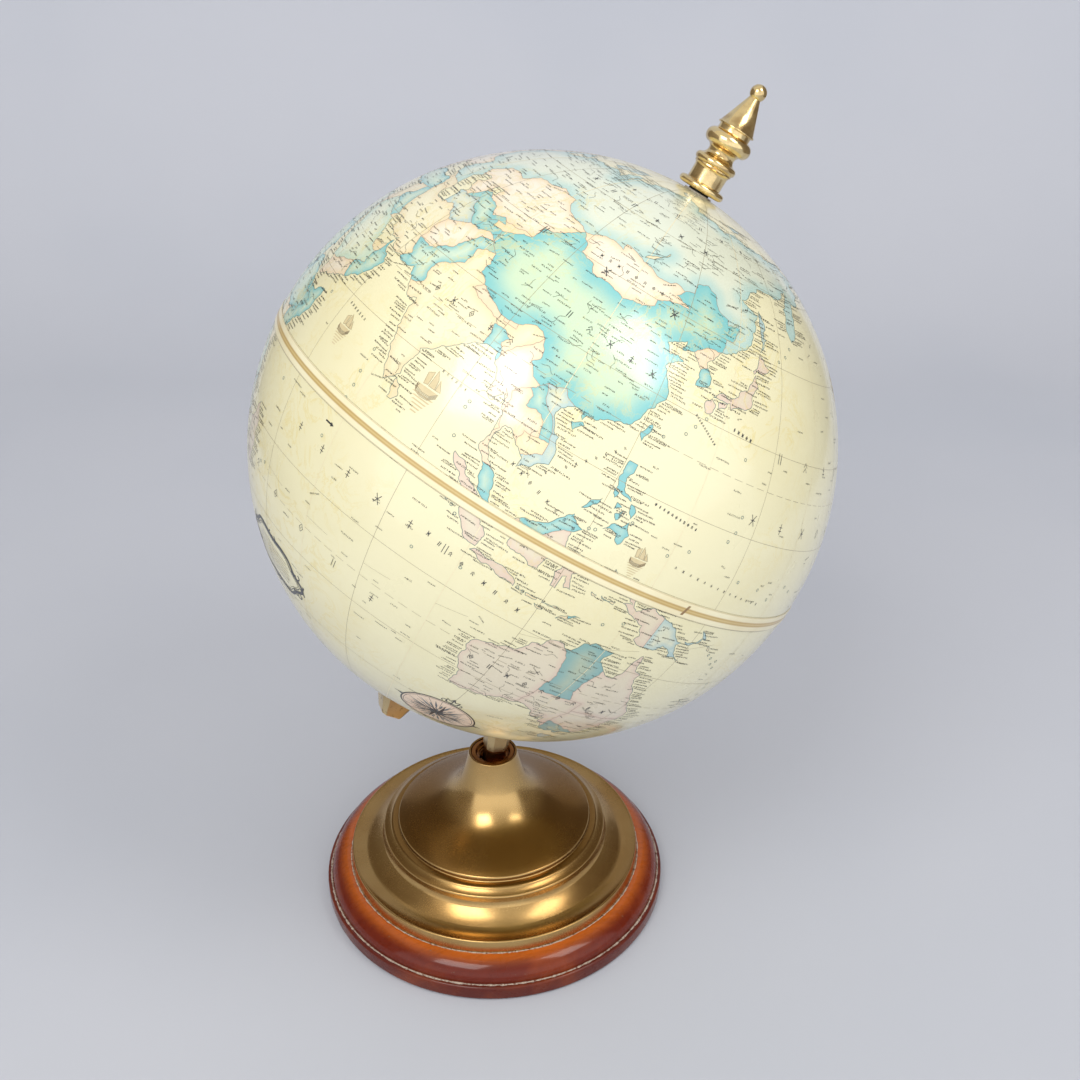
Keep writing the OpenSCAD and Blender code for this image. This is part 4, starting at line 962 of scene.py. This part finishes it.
def small_label(ink, rng, lon, lat, count, height, width, turn=0.0):
    """A row of tiny marks, as small print looks from across a room."""
    x = 0.0
    for _ in range(count):
        for mark in rng.sample(SMALL_MARKS, 2):
            xy = [(x + p[0] * height * 0.9, p[1] * height) for p in mark]
            ink.draw(lon, lat, xy, width, turn)
        x += height * rng.uniform(0.62, 0.82)


def label_reach(lat, count, height):
    """How many degrees of longitude a row of marks covers at a latitude."""
    return count * height * 0.72 / (math.cos(math.radians(lat)) * math.radians(GLOBE_R))


def label_cells(lon, lat, reach):
    """The cells of a coarse grid that a row covers, which no other row may use."""
    return {(round(lat / 0.62), round((lon + k * reach / 3) / 1.6)) for k in range(4)}


def coast_labels(ink, coasts, is_sea):
    """Rows of marks for towns and capes, which start at the coast and run out to sea."""
    rng = random.Random(5)
    taken = set()
    for line in coasts:
        for lon, lat in line:
            if abs(lat) > 76 or rng.random() < 0.05:
                continue
            east = is_sea(lon + 1.0, lat)
            west = is_sea(lon - 1.0, lat)
            if not (east or west):
                continue
            count = rng.randint(7, 14)
            height = rng.choice((0.8, 0.9, 0.9, 1.1))
            reach = label_reach(lat, count, height)
            gap = 0.45
            start = lon + gap if east else lon - gap - reach
            cells = label_cells(start, lat, reach)
            if cells & taken:
                continue
            taken |= cells
            small_label(ink, rng, start, lat - 0.15, count, height, 0.2, rng.uniform(-3, 3))
    return taken


def inland_labels(ink, is_sea, taken):
    """Rows of marks for towns, ranges and sea basins, scattered where no other row is, and
    here and there a river."""
    rng = random.Random(8)
    for _ in range(9000):
        lon = rng.uniform(WEST_EDGE, EAST_EDGE - 6)
        lat = math.degrees(math.asin(rng.uniform(-0.8, 0.96)))
        sea = is_sea(lon, lat) and is_sea(lon + 2, lat)
        if sea and rng.random() < 0.93:
            continue
        count = rng.randint(4, 11)
        height = rng.choice((0.75, 0.8, 0.9, 1.1))
        cells = label_cells(lon, lat, label_reach(lat, count, height))
        if cells & taken:
            continue
        taken |= cells
        turn = rng.choice((0, 0, 0, 0, 0, rng.uniform(-35, 35)))
        small_label(ink, rng, lon, lat, count, height, 0.17, turn)
        if not sea and rng.random() < 0.15:
            curve = [(k * 1.1, 0.8 * math.sin(k * 1.1 + count)) for k in range(7)]
            ink.draw(lon, lat - 0.7, curve, 0.14, rng.uniform(-80, 80))


def big_labels(ink):
    """Plain ornaments in rows, where the names of countries and oceans are."""
    rng = random.Random(3)
    for first, last, count, height, width in BIG_ROWS:
        for k in range(count):
            t = k / (count - 1)
            lon = first[0] + (last[0] - first[0]) * t
            lat = first[1] + (last[1] - first[1]) * t
            fall = math.degrees(math.atan2(last[1] - first[1],
                                           (last[0] - first[0]) * math.cos(math.radians(lat))))
            for mark in rng.choice(BIG_MARKS):
                ink.draw(lon, lat, [(p[0] * height, p[1] * height) for p in mark], width, fall)


def graticule(ink):
    """Meridians and parallels every 15 degrees, dashed tropics and polar circles, a scale of
    degrees along the equator, the sun's figure of eight, and the ecliptic in dashes."""
    all_round = range(-30, 331, 2)
    for lon in range(-30, 330, 15):
        ink.path([(lon, lat) for lat in range(-84, 85, 2)], 0.18)
    for lat in range(-75, 76, 15):
        if lat:
            ink.path([(lon, lat) for lon in all_round], 0.18)
    for lat in (-66.6, -23.4, 23.4, 66.6):
        for lon in range(-30, 330, 3):
            ink.path([(lon, lat), (lon + 1, lat), (lon + 2, lat)], 0.18)
    for side in (-1, 1):
        for lon in range(-30, 330, 5):
            ink.path([(lon, 1.05 * side), (lon, 1.6 * side)], 0.2)
        ink.path([(lon, 1.6 * side) for lon in all_round], 0.14)
    analemma = [(200 + 3.2 * math.sin(2 * a), 23.4 * math.sin(a))
                for a in (math.radians(5 * k) for k in range(73))]
    ink.path(analemma, 0.3)
    for k in range(1, 24):
        lon = -30 + 15 * k
        ink.path([(lon + 0.5 * j, 0.9 * 23.4 * math.sin(math.radians(lon + 0.5 * j - 170)))
                  for j in range(0, 14, 2)], 0.12)


def gore_seams(ink):
    """The hairline joints of the paper gores, paler than the print."""
    for lon in range(-15, 330, 30):
        ink.path([(lon + 0.03 * math.sin(lat), lat) for lat in range(-86, 87, 2)], 0.3)


def ship(line, wash, lon, lat, size):
    """A small engraved sailing ship with its reflection in the water."""
    hull = [(-1, 0.1), (-0.8, -0.25), (-0.2, -0.4), (0.5, -0.35), (1.1, 0.15)]
    sails = [
        [(-0.55, 0.25), (-0.15, 0.35), (-0.2, 1.5), (-0.7, 1.2)],
        [(-0.05, 0.3), (0.6, 0.3), (0.45, 1.1), (0.0, 1.75)],
        [(0.65, 0.3), (1.15, 0.35), (0.6, 1.2)],
    ]
    grow = [[(x * size, y * size) for x, y in part] for part in sails + [hull + [(-1, 0.1)]]]
    for part in grow[:3]:
        wash.patch(lon, lat, part)
        line.draw(lon, lat, part + [part[0]], 0.16)
    wash.patch(lon, lat, grow[3][:-1])
    for k in range(5):
        line.draw(lon, lat, [(x, y - 0.09 * size * k) for x, y in grow[3][:5]], 0.2)
    for k in range(6):
        y = -0.55 * size - 0.28 * size * k
        half = size * (1.1 - 0.15 * k)
        wash.patch(lon, lat, [(-half, y - 0.12 * size), (half * 0.8, y - 0.12 * size), (half, y),
                              (-half * 0.7, y)])


def arc(cx, cy, r, start, stop, n):
    """n steps along a circle, from one angle to another in degrees."""
    return [(cx + r * math.cos(math.radians(start + (stop - start) * i / n)),
             cy + r * math.sin(math.radians(start + (stop - start) * i / n))) for i in range(n + 1)]


def circle(radius, steps=48, start=0.0, sweep=360.0):
    """Points of a circle, or of part of one, round (0, 0)."""
    return arc(0, 0, radius, start, start + sweep, steps)


def compass_rose(line, shade, wash, lon, lat, radius):
    """A ring of engraved rays and feathers round a dark star, with spikes and a crown."""
    def at(angle, r, aside=0.0):
        c, s = math.cos(math.radians(angle)), math.sin(math.radians(angle))
        return (radius * r * c - aside * s, radius * r * s + aside * c)

    wash.patch(lon, lat, circle(radius * 0.97)[:-1])
    for r, w in ((1.0, 0.75), (0.93, 0.3)):
        line.draw(lon, lat, circle(radius * r), w)
    for k in range(32):
        angle = 360 * k / 32
        line.draw(lon, lat, [at(angle, 0.3), at(angle, 0.9 if k % 2 else 0.72)], 0.2)
    for k in range(24):
        angle = 360 * (k + 0.5) / 24
        far = 0.84 if k % 2 else 0.66
        shade.patch(lon, lat, [at(angle, 0.3), at(angle, 0.52, -0.75), at(angle, far),
                               at(angle, 0.52, 0.45)])
    for k in range(16):
        angle = 360 * k / 16
        far, half = ((0.7, 1.9), (0.4, 1.2), (0.52, 1.5), (0.4, 1.2))[k % 4]
        point = shade if k % 2 else line
        point.patch(lon, lat, [(0, 0), at(angle, 0.16, -half), at(angle, far)])
        line.draw(lon, lat, [(0, 0), at(angle, 0.16, half), at(angle, far)], 0.22)
    for angle, reach in ((0, 4.6), (180, 4.6), (270, 3.2)):
        spike = [at(angle, 1.0, -0.9), at(angle, 1 + reach / radius), at(angle, 1.0, 0.9)]
        line.patch(lon, lat, spike)
        bead = at(angle, 1.05)
        shade.patch(lon, lat, [(bead[0] + x, bead[1] + y) for x, y in circle(1.1, 10)])
    crown = (
        ((0, 0), (0, 6.4)), ((-3.4, 1.2), (3.4, 1.2)), ((-2.8, 1.4), (-3.6, 5.0), (-1.2, 3.4)),
        ((2.8, 1.4), (3.6, 5.0), (1.2, 3.4)), ((-1.2, 3.4), (0, 6.6), (1.2, 3.4)),
    )
    for part in crown:
        line.draw(lon, lat, [(x, y + radius) for x, y in part], 0.6)
    for side in (-1, 1):
        curl = [(side * (4.2 + x), radius + 1.8 + y) for x, y in circle(1.2, 10, 200, -280)]
        line.draw(lon, lat, curl, 0.45)


def cartouche(line, lon, lat, long_r, short_r, turn):
    """An empty scrolled frame, with the thin rules of a scale inside."""
    for r, w in ((1.0, 1.9), (0.9, 0.5), (0.85, 0.25)):
        frame_line = []
        for k in range(73):
            a = math.radians(5 * k)
            swell = 1 + 0.07 * math.cos(6 * a)
            frame_line.append((long_r * r * swell * math.cos(a), short_r * r * swell * math.sin(a)))
        line.draw(lon, lat, frame_line, w, turn)
    for k in range(6):
        a = math.radians(60 * k + 30)
        x, y = long_r * math.cos(a), short_r * math.sin(a)
        for side in (-1, 1):
            curl = [(x + side * (q + 1.6), y + p) for p, q in circle(1.8, 10, 20, 260)]
            line.draw(lon, lat, curl, 0.8, turn)
    for side in (-1, 1):
        horn = [(side * long_r, 0), (side * (long_r + 2.5), 1.6), (side * (long_r + 3), 3.6)]
        line.draw(lon, lat, horn, 1.2, turn)
        line.draw(lon, lat, [(x, -y) for x, y in horn], 1.0, turn)
    for k in range(7):
        y = short_r * (0.5 - 0.16 * k)
        half = long_r * 0.62 * math.sqrt(1 - (y / short_r) ** 2)
        line.draw(lon, lat, [(-half, y), (0, y), (half, y)], 0.25, turn)


def print_everything():
    """The two halves of the map, and over them each kind of mark as a piece of its own."""
    coasts, borders, verts, faces, sea = print_map()
    is_sea = sea_lookup(verts, faces, sea)
    dark = ink("print_ink", srgb(62, 60, 54), srgb(108, 102, 84))
    soft = ink("soft_ink", srgb(150, 140, 112), srgb(184, 172, 134))
    coast_ink = ink("coast_ink", srgb(104, 128, 122), srgb(150, 158, 132))
    border_ink = ink("border_ink", srgb(164, 142, 124), srgb(190, 172, 142))
    blue_ink = ink("ornament_ink", srgb(50, 54, 58), srgb(84, 84, 78))
    pale = ink("seam_paper", srgb(228, 217, 178), srgb(240, 231, 194))
    flesh = ink("rose_wash", srgb(238, 216, 190), srgb(230, 204, 178))
    tan = ink("ship_wash", srgb(206, 190, 146), srgb(222, 208, 168))

    lines = Ink(1)
    graticule(lines)
    lines.piece("print_graticule", soft)
    lines = Ink(1.3)
    gore_seams(lines)
    lines.piece("print_gore_seams", pale)
    lines = Ink(1.6)
    for border in borders:
        lines.path(border, 0.22)
    lines.piece("print_borders", border_ink)
    lines = Ink(1.9)
    for coast in coasts:
        lines.path(coast, 0.26)
    for lon, lat in read_lines(ISLETS)[0]:
        lines.draw(lon, lat, circle(0.7, 7), 0.3)
    lines.piece("print_coasts", coast_ink)
    small = Ink(2.2)
    taken = coast_labels(small, coasts, is_sea)
    inland_labels(small, is_sea, taken)
    small.piece("print_small_marks", dark)
    large = Ink(2.2)
    big_labels(large)
    arrow = (72.7, -3.8)
    large.draw(*arrow, [(-2.6, 0), (1.4, 0)], 0.8)
    large.patch(*arrow, [(1.0, -1.1), (3.0, 0), (1.0, 1.1)])
    large.piece("print_large_marks", blue_ink)
    wash, engraving = Ink(1.2), Ink(2.2)
    for lon, lat, size in ((63.8, 9.9, 4.2), (85.6, 10.9, 5.4), (130.1, 4.8, 3.8), (190, 45, 4.2),
                           (-15, 20, 4.0), (250, -35, 4.6)):
        ship(engraving, wash, lon, lat, size)
    wash.piece("print_ship_wash", tan)
    engraving.piece("print_ships", ink("engraving_ink", srgb(140, 124, 96), srgb(170, 152, 116)))
    wash, engraving = Ink(1.2), Ink(2.2)
    shade = Ink(1.7)
    compass_rose(engraving, shade, wash, 119.9, -49.5, 19.2)
    cartouche(engraving, 61.5, -38.6, 26.5, 14.0, -8.0)
    wash.piece("print_rose_wash", flesh)
    shade.piece("print_rose_shade", ink("slate_ink", srgb(92, 112, 120), srgb(130, 140, 138)))
    engraving.piece("print_ornaments", blue_ink)


print_everything()

# ---------------------------------------------------------------- turned pieces
def bezier(a, b, c, d, n):
    """n steps along a cubic curve from a to d, pulled towards b and c."""
    out = []
    for i in range(n + 1):
        t = i / n
        s = 1 - t
        k = (s * s * s, 3 * s * s * t, 3 * s * t * t, t * t * t)
        out.append((k[0] * a[0] + k[1] * b[0] + k[2] * c[0] + k[3] * d[0],
                    k[0] * a[1] + k[1] * b[1] + k[2] * c[1] + k[3] * d[1]))
    return out


def lathe(name, outline, matrix, body, slot, material, sides=192, sharp=32.0):
    """A closed outline of (radius, height) in mm, turned about the piece's own Z axis."""
    bm = bmesh.new()
    rings = []
    for r, z in outline:
        if r < 1e-6:
            rings.append([bm.verts.new((0, 0, z * MM))])
            continue
        rings.append([bm.verts.new((r * MM * math.cos(2 * math.pi * k / sides),
                                    r * MM * math.sin(2 * math.pi * k / sides), z * MM))
                      for k in range(sides)])
    for a, b in zip(rings, rings[1:] + rings[:1]):
        for k in range(sides):
            quad = [a[k % len(a)], a[(k + 1) % len(a)], b[(k + 1) % len(b)], b[k % len(b)]]
            corners = list(dict.fromkeys(quad))
            if len(corners) > 2:
                bm.faces.new(corners)
    bmesh.ops.recalc_face_normals(bm, faces=bm.faces)
    return place(finished_mesh(bm, name, material, sharp), name, matrix, body, slot)


def brass_cover():
    """The spun cover: a flared neck, a dome, two raised rings and a bowl down to the wood."""
    outside = (
        arc(13.75, NECK_TOP - 0.65, 0.65, 180, 10, 8)
        + bezier((14.4, NECK_TOP - 0.8), (15.8, 88), (17.2, 82), (19.5, 76), 14)
        + bezier((19.5, 76), (21.8, 71), (25, 66.5), (30.5, 62.5), 14)[1:]
        + bezier((30.5, 62.5), (37.5, 57.4), (50, 53.8), (57.6, 49.4), 20)[1:]
        + arc(57, 48.4, 1.2, 60, 0, 6) + arc(59, 47, 0.8, 180, 270, 5)
        + arc(61, 43.7, 2.5, 90, 30, 7) + arc(66, 42.1, 1.2, 75, 0, 6)
        + bezier((67.2, 39.5), (68.2, 34.5), (72.5, 30), (79, 28.4), 18)
        + arc(COVER_R - 1.5, 27.9, 0.8, 140, 0, 7)
        + [(COVER_R, WOOD_TOP + 0.8), (COVER_R, WOOD_TOP)]
    )
    wall = 1.2
    inside = [(COVER_R - wall, WOOD_TOP), (COVER_R - wall, 26.6), (79, 27.2), (66, 38), (64, 41),
              (57, 46), (37, 56.2), (24, 65.8), (18.2, 76), (15, 88), (13.8, 92),
              (11.4, 92), (11.4, 93.2), (13.1, 93.2)]
    ob = lathe("brass_cover", outside + inside, Matrix(), "base", "spun_brass",
               MATERIALS["spun_brass"], 256, 40)
    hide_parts("spun_cover")


def wooden_base():
    """The turned base: a plinth, a dusty groove and a bullnose up to the brass."""
    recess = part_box("felt_pad")[1].x / MM + 0.2
    rod_hole_r, ballast_r, ballast_top, felt_top = 3.6, 71, 12, 1.4
    outline = (
        [(recess, 0.6), (WOOD_R - 1.2, 0.6)]
        + arc(WOOD_R - 1.2, 1.8, 1.2, -90, 0, 6)
        + arc(WOOD_R - 1.4, 8.2, 1.4, 0, 90, 7)
        + arc(GROOVE_R, 10.2, 0.6, 270, 180, 5)
        + bezier((100.6, 10.8), (100.3, 17), (93.5, WOOD_TOP - 0.1), (89, WOOD_TOP), 22)
        + [(12, WOOD_TOP), (rod_hole_r, WOOD_TOP), (rod_hole_r, ballast_top),
           (ballast_r, ballast_top), (ballast_r, felt_top), (recess, felt_top)]
    )
    ob = lathe("turned_base", outline, Matrix(), "base", "stained_wood",
               MATERIALS["stained_wood"], 256, 50)
    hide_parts("wood_base")


def settled_dust():
    """Broken rings of dust in the groove and against the foot of the brass."""
    rng = random.Random(21)
    material = dust()
    for name, radius, height, wide, tall in (
            ("dust_in_groove", GROOVE_R, 9.75, 1.0, 0.45),
            ("dust_by_brass", COVER_R + 0.4, WOOD_TOP, 0.8, 0.4)):
        bm = bmesh.new()
        steps = 360
        ring = []
        for k in range(steps):
            a = 2 * math.pi * k / steps
            swell = 0.35 + 0.65 * rng.random()
            section = ((-wide * swell, -0.05), (0, tall * swell), (wide * swell, -0.05))
            ring.append([bm.verts.new(((radius + u) * math.cos(a) * MM,
                                       (radius + u) * math.sin(a) * MM,
                                       (height + v) * MM)) for u, v in section])
        for a, b in zip(ring, ring[1:] + ring[:1]):
            for i in range(3):
                bm.faces.new((a[i], a[(i + 1) % 3], b[(i + 1) % 3], b[i]))
        bmesh.ops.recalc_face_normals(bm, faces=bm.faces)
        place(finished_mesh(bm, name, material), name, Matrix(), "base", "stained_wood")


def turned_finial():
    """A foot, a collar, two beads, a cone and a knob, with a blind bore for the axle."""
    foot = BALL_R + 1.3
    bore_r, bore_depth = 4.02, 21.2
    outline = (
        [(bore_r, 0)] + arc(10.4, 1.9, 1.9, -90, 90, 16)
        + [(9, 4.2), (8.95, 7.0), (9, 10.2)] + arc(11.5, 10.2, 2.5, 180, 125, 8)
        + arc(8.9, 14.9, 2.2, -60, 75, 14)
        + bezier((9.4, 17), (6.4, 18), (6.4, 22), (9.2, 22.7), 16)
        + arc(8.1, 26.4, 4.1, -66, 66, 18)
        + [(8.6, 30.8), (8.55, 31.9), (8.6, 33), (9.4, 33)] + arc(9.3, 33.6, 0.5, -60, 60, 6)
        + [(9.2, 34.3), (6, 42.3), (2.9, 50.2)]
        + arc(0, 53.2, 4.19, -46, 90, 16) + [(0, bore_depth), (bore_r, bore_depth)]
    )
    ob = lathe("turned_finial", [(r, z + foot) for r, z in outline], POLAR, "arm", "turned_brass",
               MATERIALS["turned_brass"], 96, 40)
    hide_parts("finial")


def equator_tape():
    """Pale tape over the joint of the two halves: a brown stripe along its middle, paler again at
    the very middle with a painted highlight along the crown, and darker edges. One dark lap crosses it."""
    half, crown, lift = 3.95, 0.31, 0.008
    profile = ((-half, 0.05), (0.24 - half, 0.2), (0.5 - half, 0.24), (-1.5, 0.28), (-0.8, 0.3),
               (0, crown), (0.8, 0.3), (1.5, 0.28), (half - 0.5, 0.24), (half - 0.24, 0.2),
               (half, 0.05))
    outline = [(BALL_R - 0.15, -half)] + [(BALL_R + up, z) for z, up in profile]
    outline.append((BALL_R - 0.15, half))
    ob = lathe("equator_tape", outline, BALL, "ball", "tape", MATERIALS["tape"], 360, 30)
    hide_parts("equator_band")
    edge_tone, paper, stripe, crown_highlight = (
        srgb(*c) for c in ((210, 200, 164), (239, 232, 196), (186, 156, 90), (212, 191, 134)))
    colours = ob.data.color_attributes.new("tint", "FLOAT_COLOR", "POINT")
    # Painted highlight: the palest band along the very middle stands for the light on the tape's crown. The edges
    # are simply darker.
    for v, c in zip(ob.data.vertices, colours.data):
        off = abs((v.co - GLOBE_CENTRE).dot(POLE)) / MM
        if off > half - 0.4:
            c.color = edge_tone
        else:
            c.color = crown_highlight if off < 0.4 else stripe if off < 1.2 else paper
    lap = Ink(1)
    lap.radius = BALL_R + crown + lift
    lap.patch(143.7, 0, [(-1.7, -2.6), (-0.2, -2.6), (1.7, 2.6), (0.3, 2.6)])
    lap.piece("tape_lap", ink("lap_stain", srgb(140, 112, 74), srgb(164, 138, 96)), "tape")


def softened(node, width):
    """Rounds the edges of a carried-over part a little, as a casting or turning has them."""
    ob = frame["nodes"][node]
    weld = ob.modifiers.new("weld", "WELD")
    weld.merge_threshold = SAME_POINT * MM
    bevel = ob.modifiers.new("edges", "BEVEL")
    bevel.width = width * MM
    bevel.segments = 3
    bevel.limit_method = "ANGLE"
    bevel.angle_limit = math.radians(28)
    bevel.harden_normals = True


def finish_cad_nodes():
    """Gives every part that is carried over its own slot's material. Three get a painted brown for the reflections
    and shade inside the neck.
    """
    for row in frame["record"]["subparts"]:
        slots = frame["nodes"][row["node"]].data.materials
        slots.clear()
        slots.append(MATERIALS[row["material_slot"]])
    for node in ("lean_knuckle", "lean_pin", "snap_ring"):  # painted brown: stands in for the brass's warm reflections and the shade where they show in the neck
        frame["nodes"][node].data.materials[0] = plain("neck_reflection_shade_steel_" + node, srgb(150, 100, 56),
                                                       srgb(84, 50, 26), 0.35, 1.0)


finish_cad_nodes()
softened("arm", 0.7)
brass_cover()
wooden_base()
settled_dust()
turned_finial()
equator_tape()


# ---------------------------------------------------------------- studio
VIEW_YAW = math.radians(18.95)
VIEW_PITCH = math.radians(30.6)
VIEW_ROLL = math.radians(-0.14)
ACROSS = Vector((math.cos(VIEW_YAW), -math.sin(VIEW_YAW), 0))  # to the camera's right
AWAY = Vector((math.sin(VIEW_YAW), math.cos(VIEW_YAW), 0))
SWEEP_FRONT, SWEEP_BEND, SWEEP_CURVE, SWEEP_TOP, SWEEP_HALF = -1.6, 0.75, 0.5, 3.0, 12
FLAG_FAR, FLAG_LOW, FLAG_HIGH = 1.1, 0.02, 1.2


def on_stage(x, y, z):
    """A point across, away from the camera and above the floor, in metres."""
    return ACROSS * x + AWAY * y + Vector((0, 0, CAD_BOX[0].z + z))


def show_on_stage(name, mesh):
    """Shows a mesh that isn't part of the globe."""
    ob = bpy.data.objects.new(name, mesh)
    bpy.context.scene.collection.objects.link(ob)
    return ob


def studio():
    """A pale paper sweep: a floor that curves up into a wall behind."""
    bm = bmesh.new()
    rows = [(SWEEP_FRONT, 0.0), (SWEEP_BEND, 0.0)]
    for a in range(10, 91, 10):
        rows.append((SWEEP_BEND + SWEEP_CURVE * math.sin(math.radians(a)),
                     SWEEP_CURVE - SWEEP_CURVE * math.cos(math.radians(a))))
    rows.append((SWEEP_BEND + SWEEP_CURVE, SWEEP_TOP))
    strips = [[bm.verts.new(on_stage(x, y, z)) for x in (-SWEEP_HALF, SWEEP_HALF)]
              for y, z in rows]
    for a, b in zip(strips, strips[1:]):
        bm.faces.new((a[0], a[1], b[1], b[0]))
    show_on_stage("sweep", finished_mesh(bm, "sweep", studio_floor()))


def flags():
    """Grey cards left and right of the globe. Only gloss sees them: they darken the brass."""
    cloth = plain("flag_cloth", srgb(146, 136, 122), srgb(136, 126, 112), 0.95)
    for name, side, near in (("flag_left", -0.8, -0.5), ("flag_right", 0.8, -0.2)):
        corners = [on_stage(side, y, z) for y, z in (
            (near, FLAG_LOW), (FLAG_FAR, FLAG_LOW), (FLAG_FAR, FLAG_HIGH), (near, FLAG_HIGH))]
        mesh = bpy.data.meshes.new(name)
        mesh.from_pydata(corners, [], [(0, 1, 2, 3)])
        mesh.materials.append(cloth)
        card = show_on_stage(name, mesh)
        card.visible_camera = card.visible_diffuse = card.visible_shadow = False


LAMP_COLOUR = (1.0, 0.985, 0.96)
ROOM = (0.46, 0.46, 0.48, 1.0)
# Where the room is brighter: direction, how far along it that begins and ends, colour
BRIGHTER = (
    ((-0.32, -0.95, 0.0), -0.3, 0.5, (1.24, 1.24, 1.28, 1.0)),
    ((0.0, 0.0, 1.0), 0.3, 0.75, (0.74, 0.71, 0.67, 1.0)),
)


def softbox(name, direction, distance, wide, tall, power):
    """A rectangular studio light that faces the ball from that direction."""
    light = bpy.data.lights.new(name, "AREA")
    light.shape = "RECTANGLE"
    light.size = wide
    light.size_y = tall
    light.energy = power
    light.color = LAMP_COLOUR
    ob = bpy.data.objects.new(name, light)
    direction = Vector(direction).normalized()
    ob.location = GLOBE_CENTRE + direction * distance
    ob.rotation_mode = "QUATERNION"
    ob.rotation_quaternion = direction.to_track_quat("Z", "Y")
    bpy.context.scene.collection.objects.link(ob)


def lights():
    """Two softboxes in a pale room that is brightest low in front."""
    softbox("softbox_left", (-0.49, -0.466, 0.737), 1.6, 0.7, 0.7, 9.4)
    softbox("softbox_right", (0.411, -0.497, 0.764), 1.7, 0.55, 0.7, 6.8)
    world = bpy.data.worlds.new("studio")
    world.use_nodes = True
    room = Nodes(world.node_tree)
    coord = room.node("ShaderNodeTexCoord").outputs["Generated"]
    colour = ROOM
    for direction, low, high, toward in BRIGHTER:
        along = room.node("ShaderNodeVectorMath", operation="DOT_PRODUCT")
        along.inputs[1].default_value = direction
        room.link(coord, along.inputs[0])
        colour = room.mix(room.ramp(along.outputs["Value"], low, high), colour, toward)
    room.link(colour, room.tree.nodes["Background"].inputs["Color"])
    bpy.context.scene.world = world


CAMERA_FROM_BALL = Vector((-0.20801, -0.60211, 0.32154))
LENS_MM, SENSOR_MM = 45, 36


def camera():
    """Stands where a person looks down at a globe on a table."""
    data = bpy.data.cameras.new("camera")
    data.lens = LENS_MM
    data.sensor_width = SENSOR_MM
    ob = bpy.data.objects.new("camera", data)
    away = Vector((math.sin(VIEW_YAW) * math.cos(VIEW_PITCH),
                   math.cos(VIEW_YAW) * math.cos(VIEW_PITCH), -math.sin(VIEW_PITCH)))
    ob.location = GLOBE_CENTRE + CAMERA_FROM_BALL
    ob.rotation_mode = "QUATERNION"
    turn = away.to_track_quat("-Z", "Y")
    ob.rotation_quaternion = turn @ Matrix.Rotation(-VIEW_ROLL, 3, "Z").to_quaternion()
    bpy.context.scene.collection.objects.link(ob)
    bpy.context.scene.camera = ob


studio()
flags()
lights()
camera()
bpy.context.scene.view_settings.view_transform = "Standard"
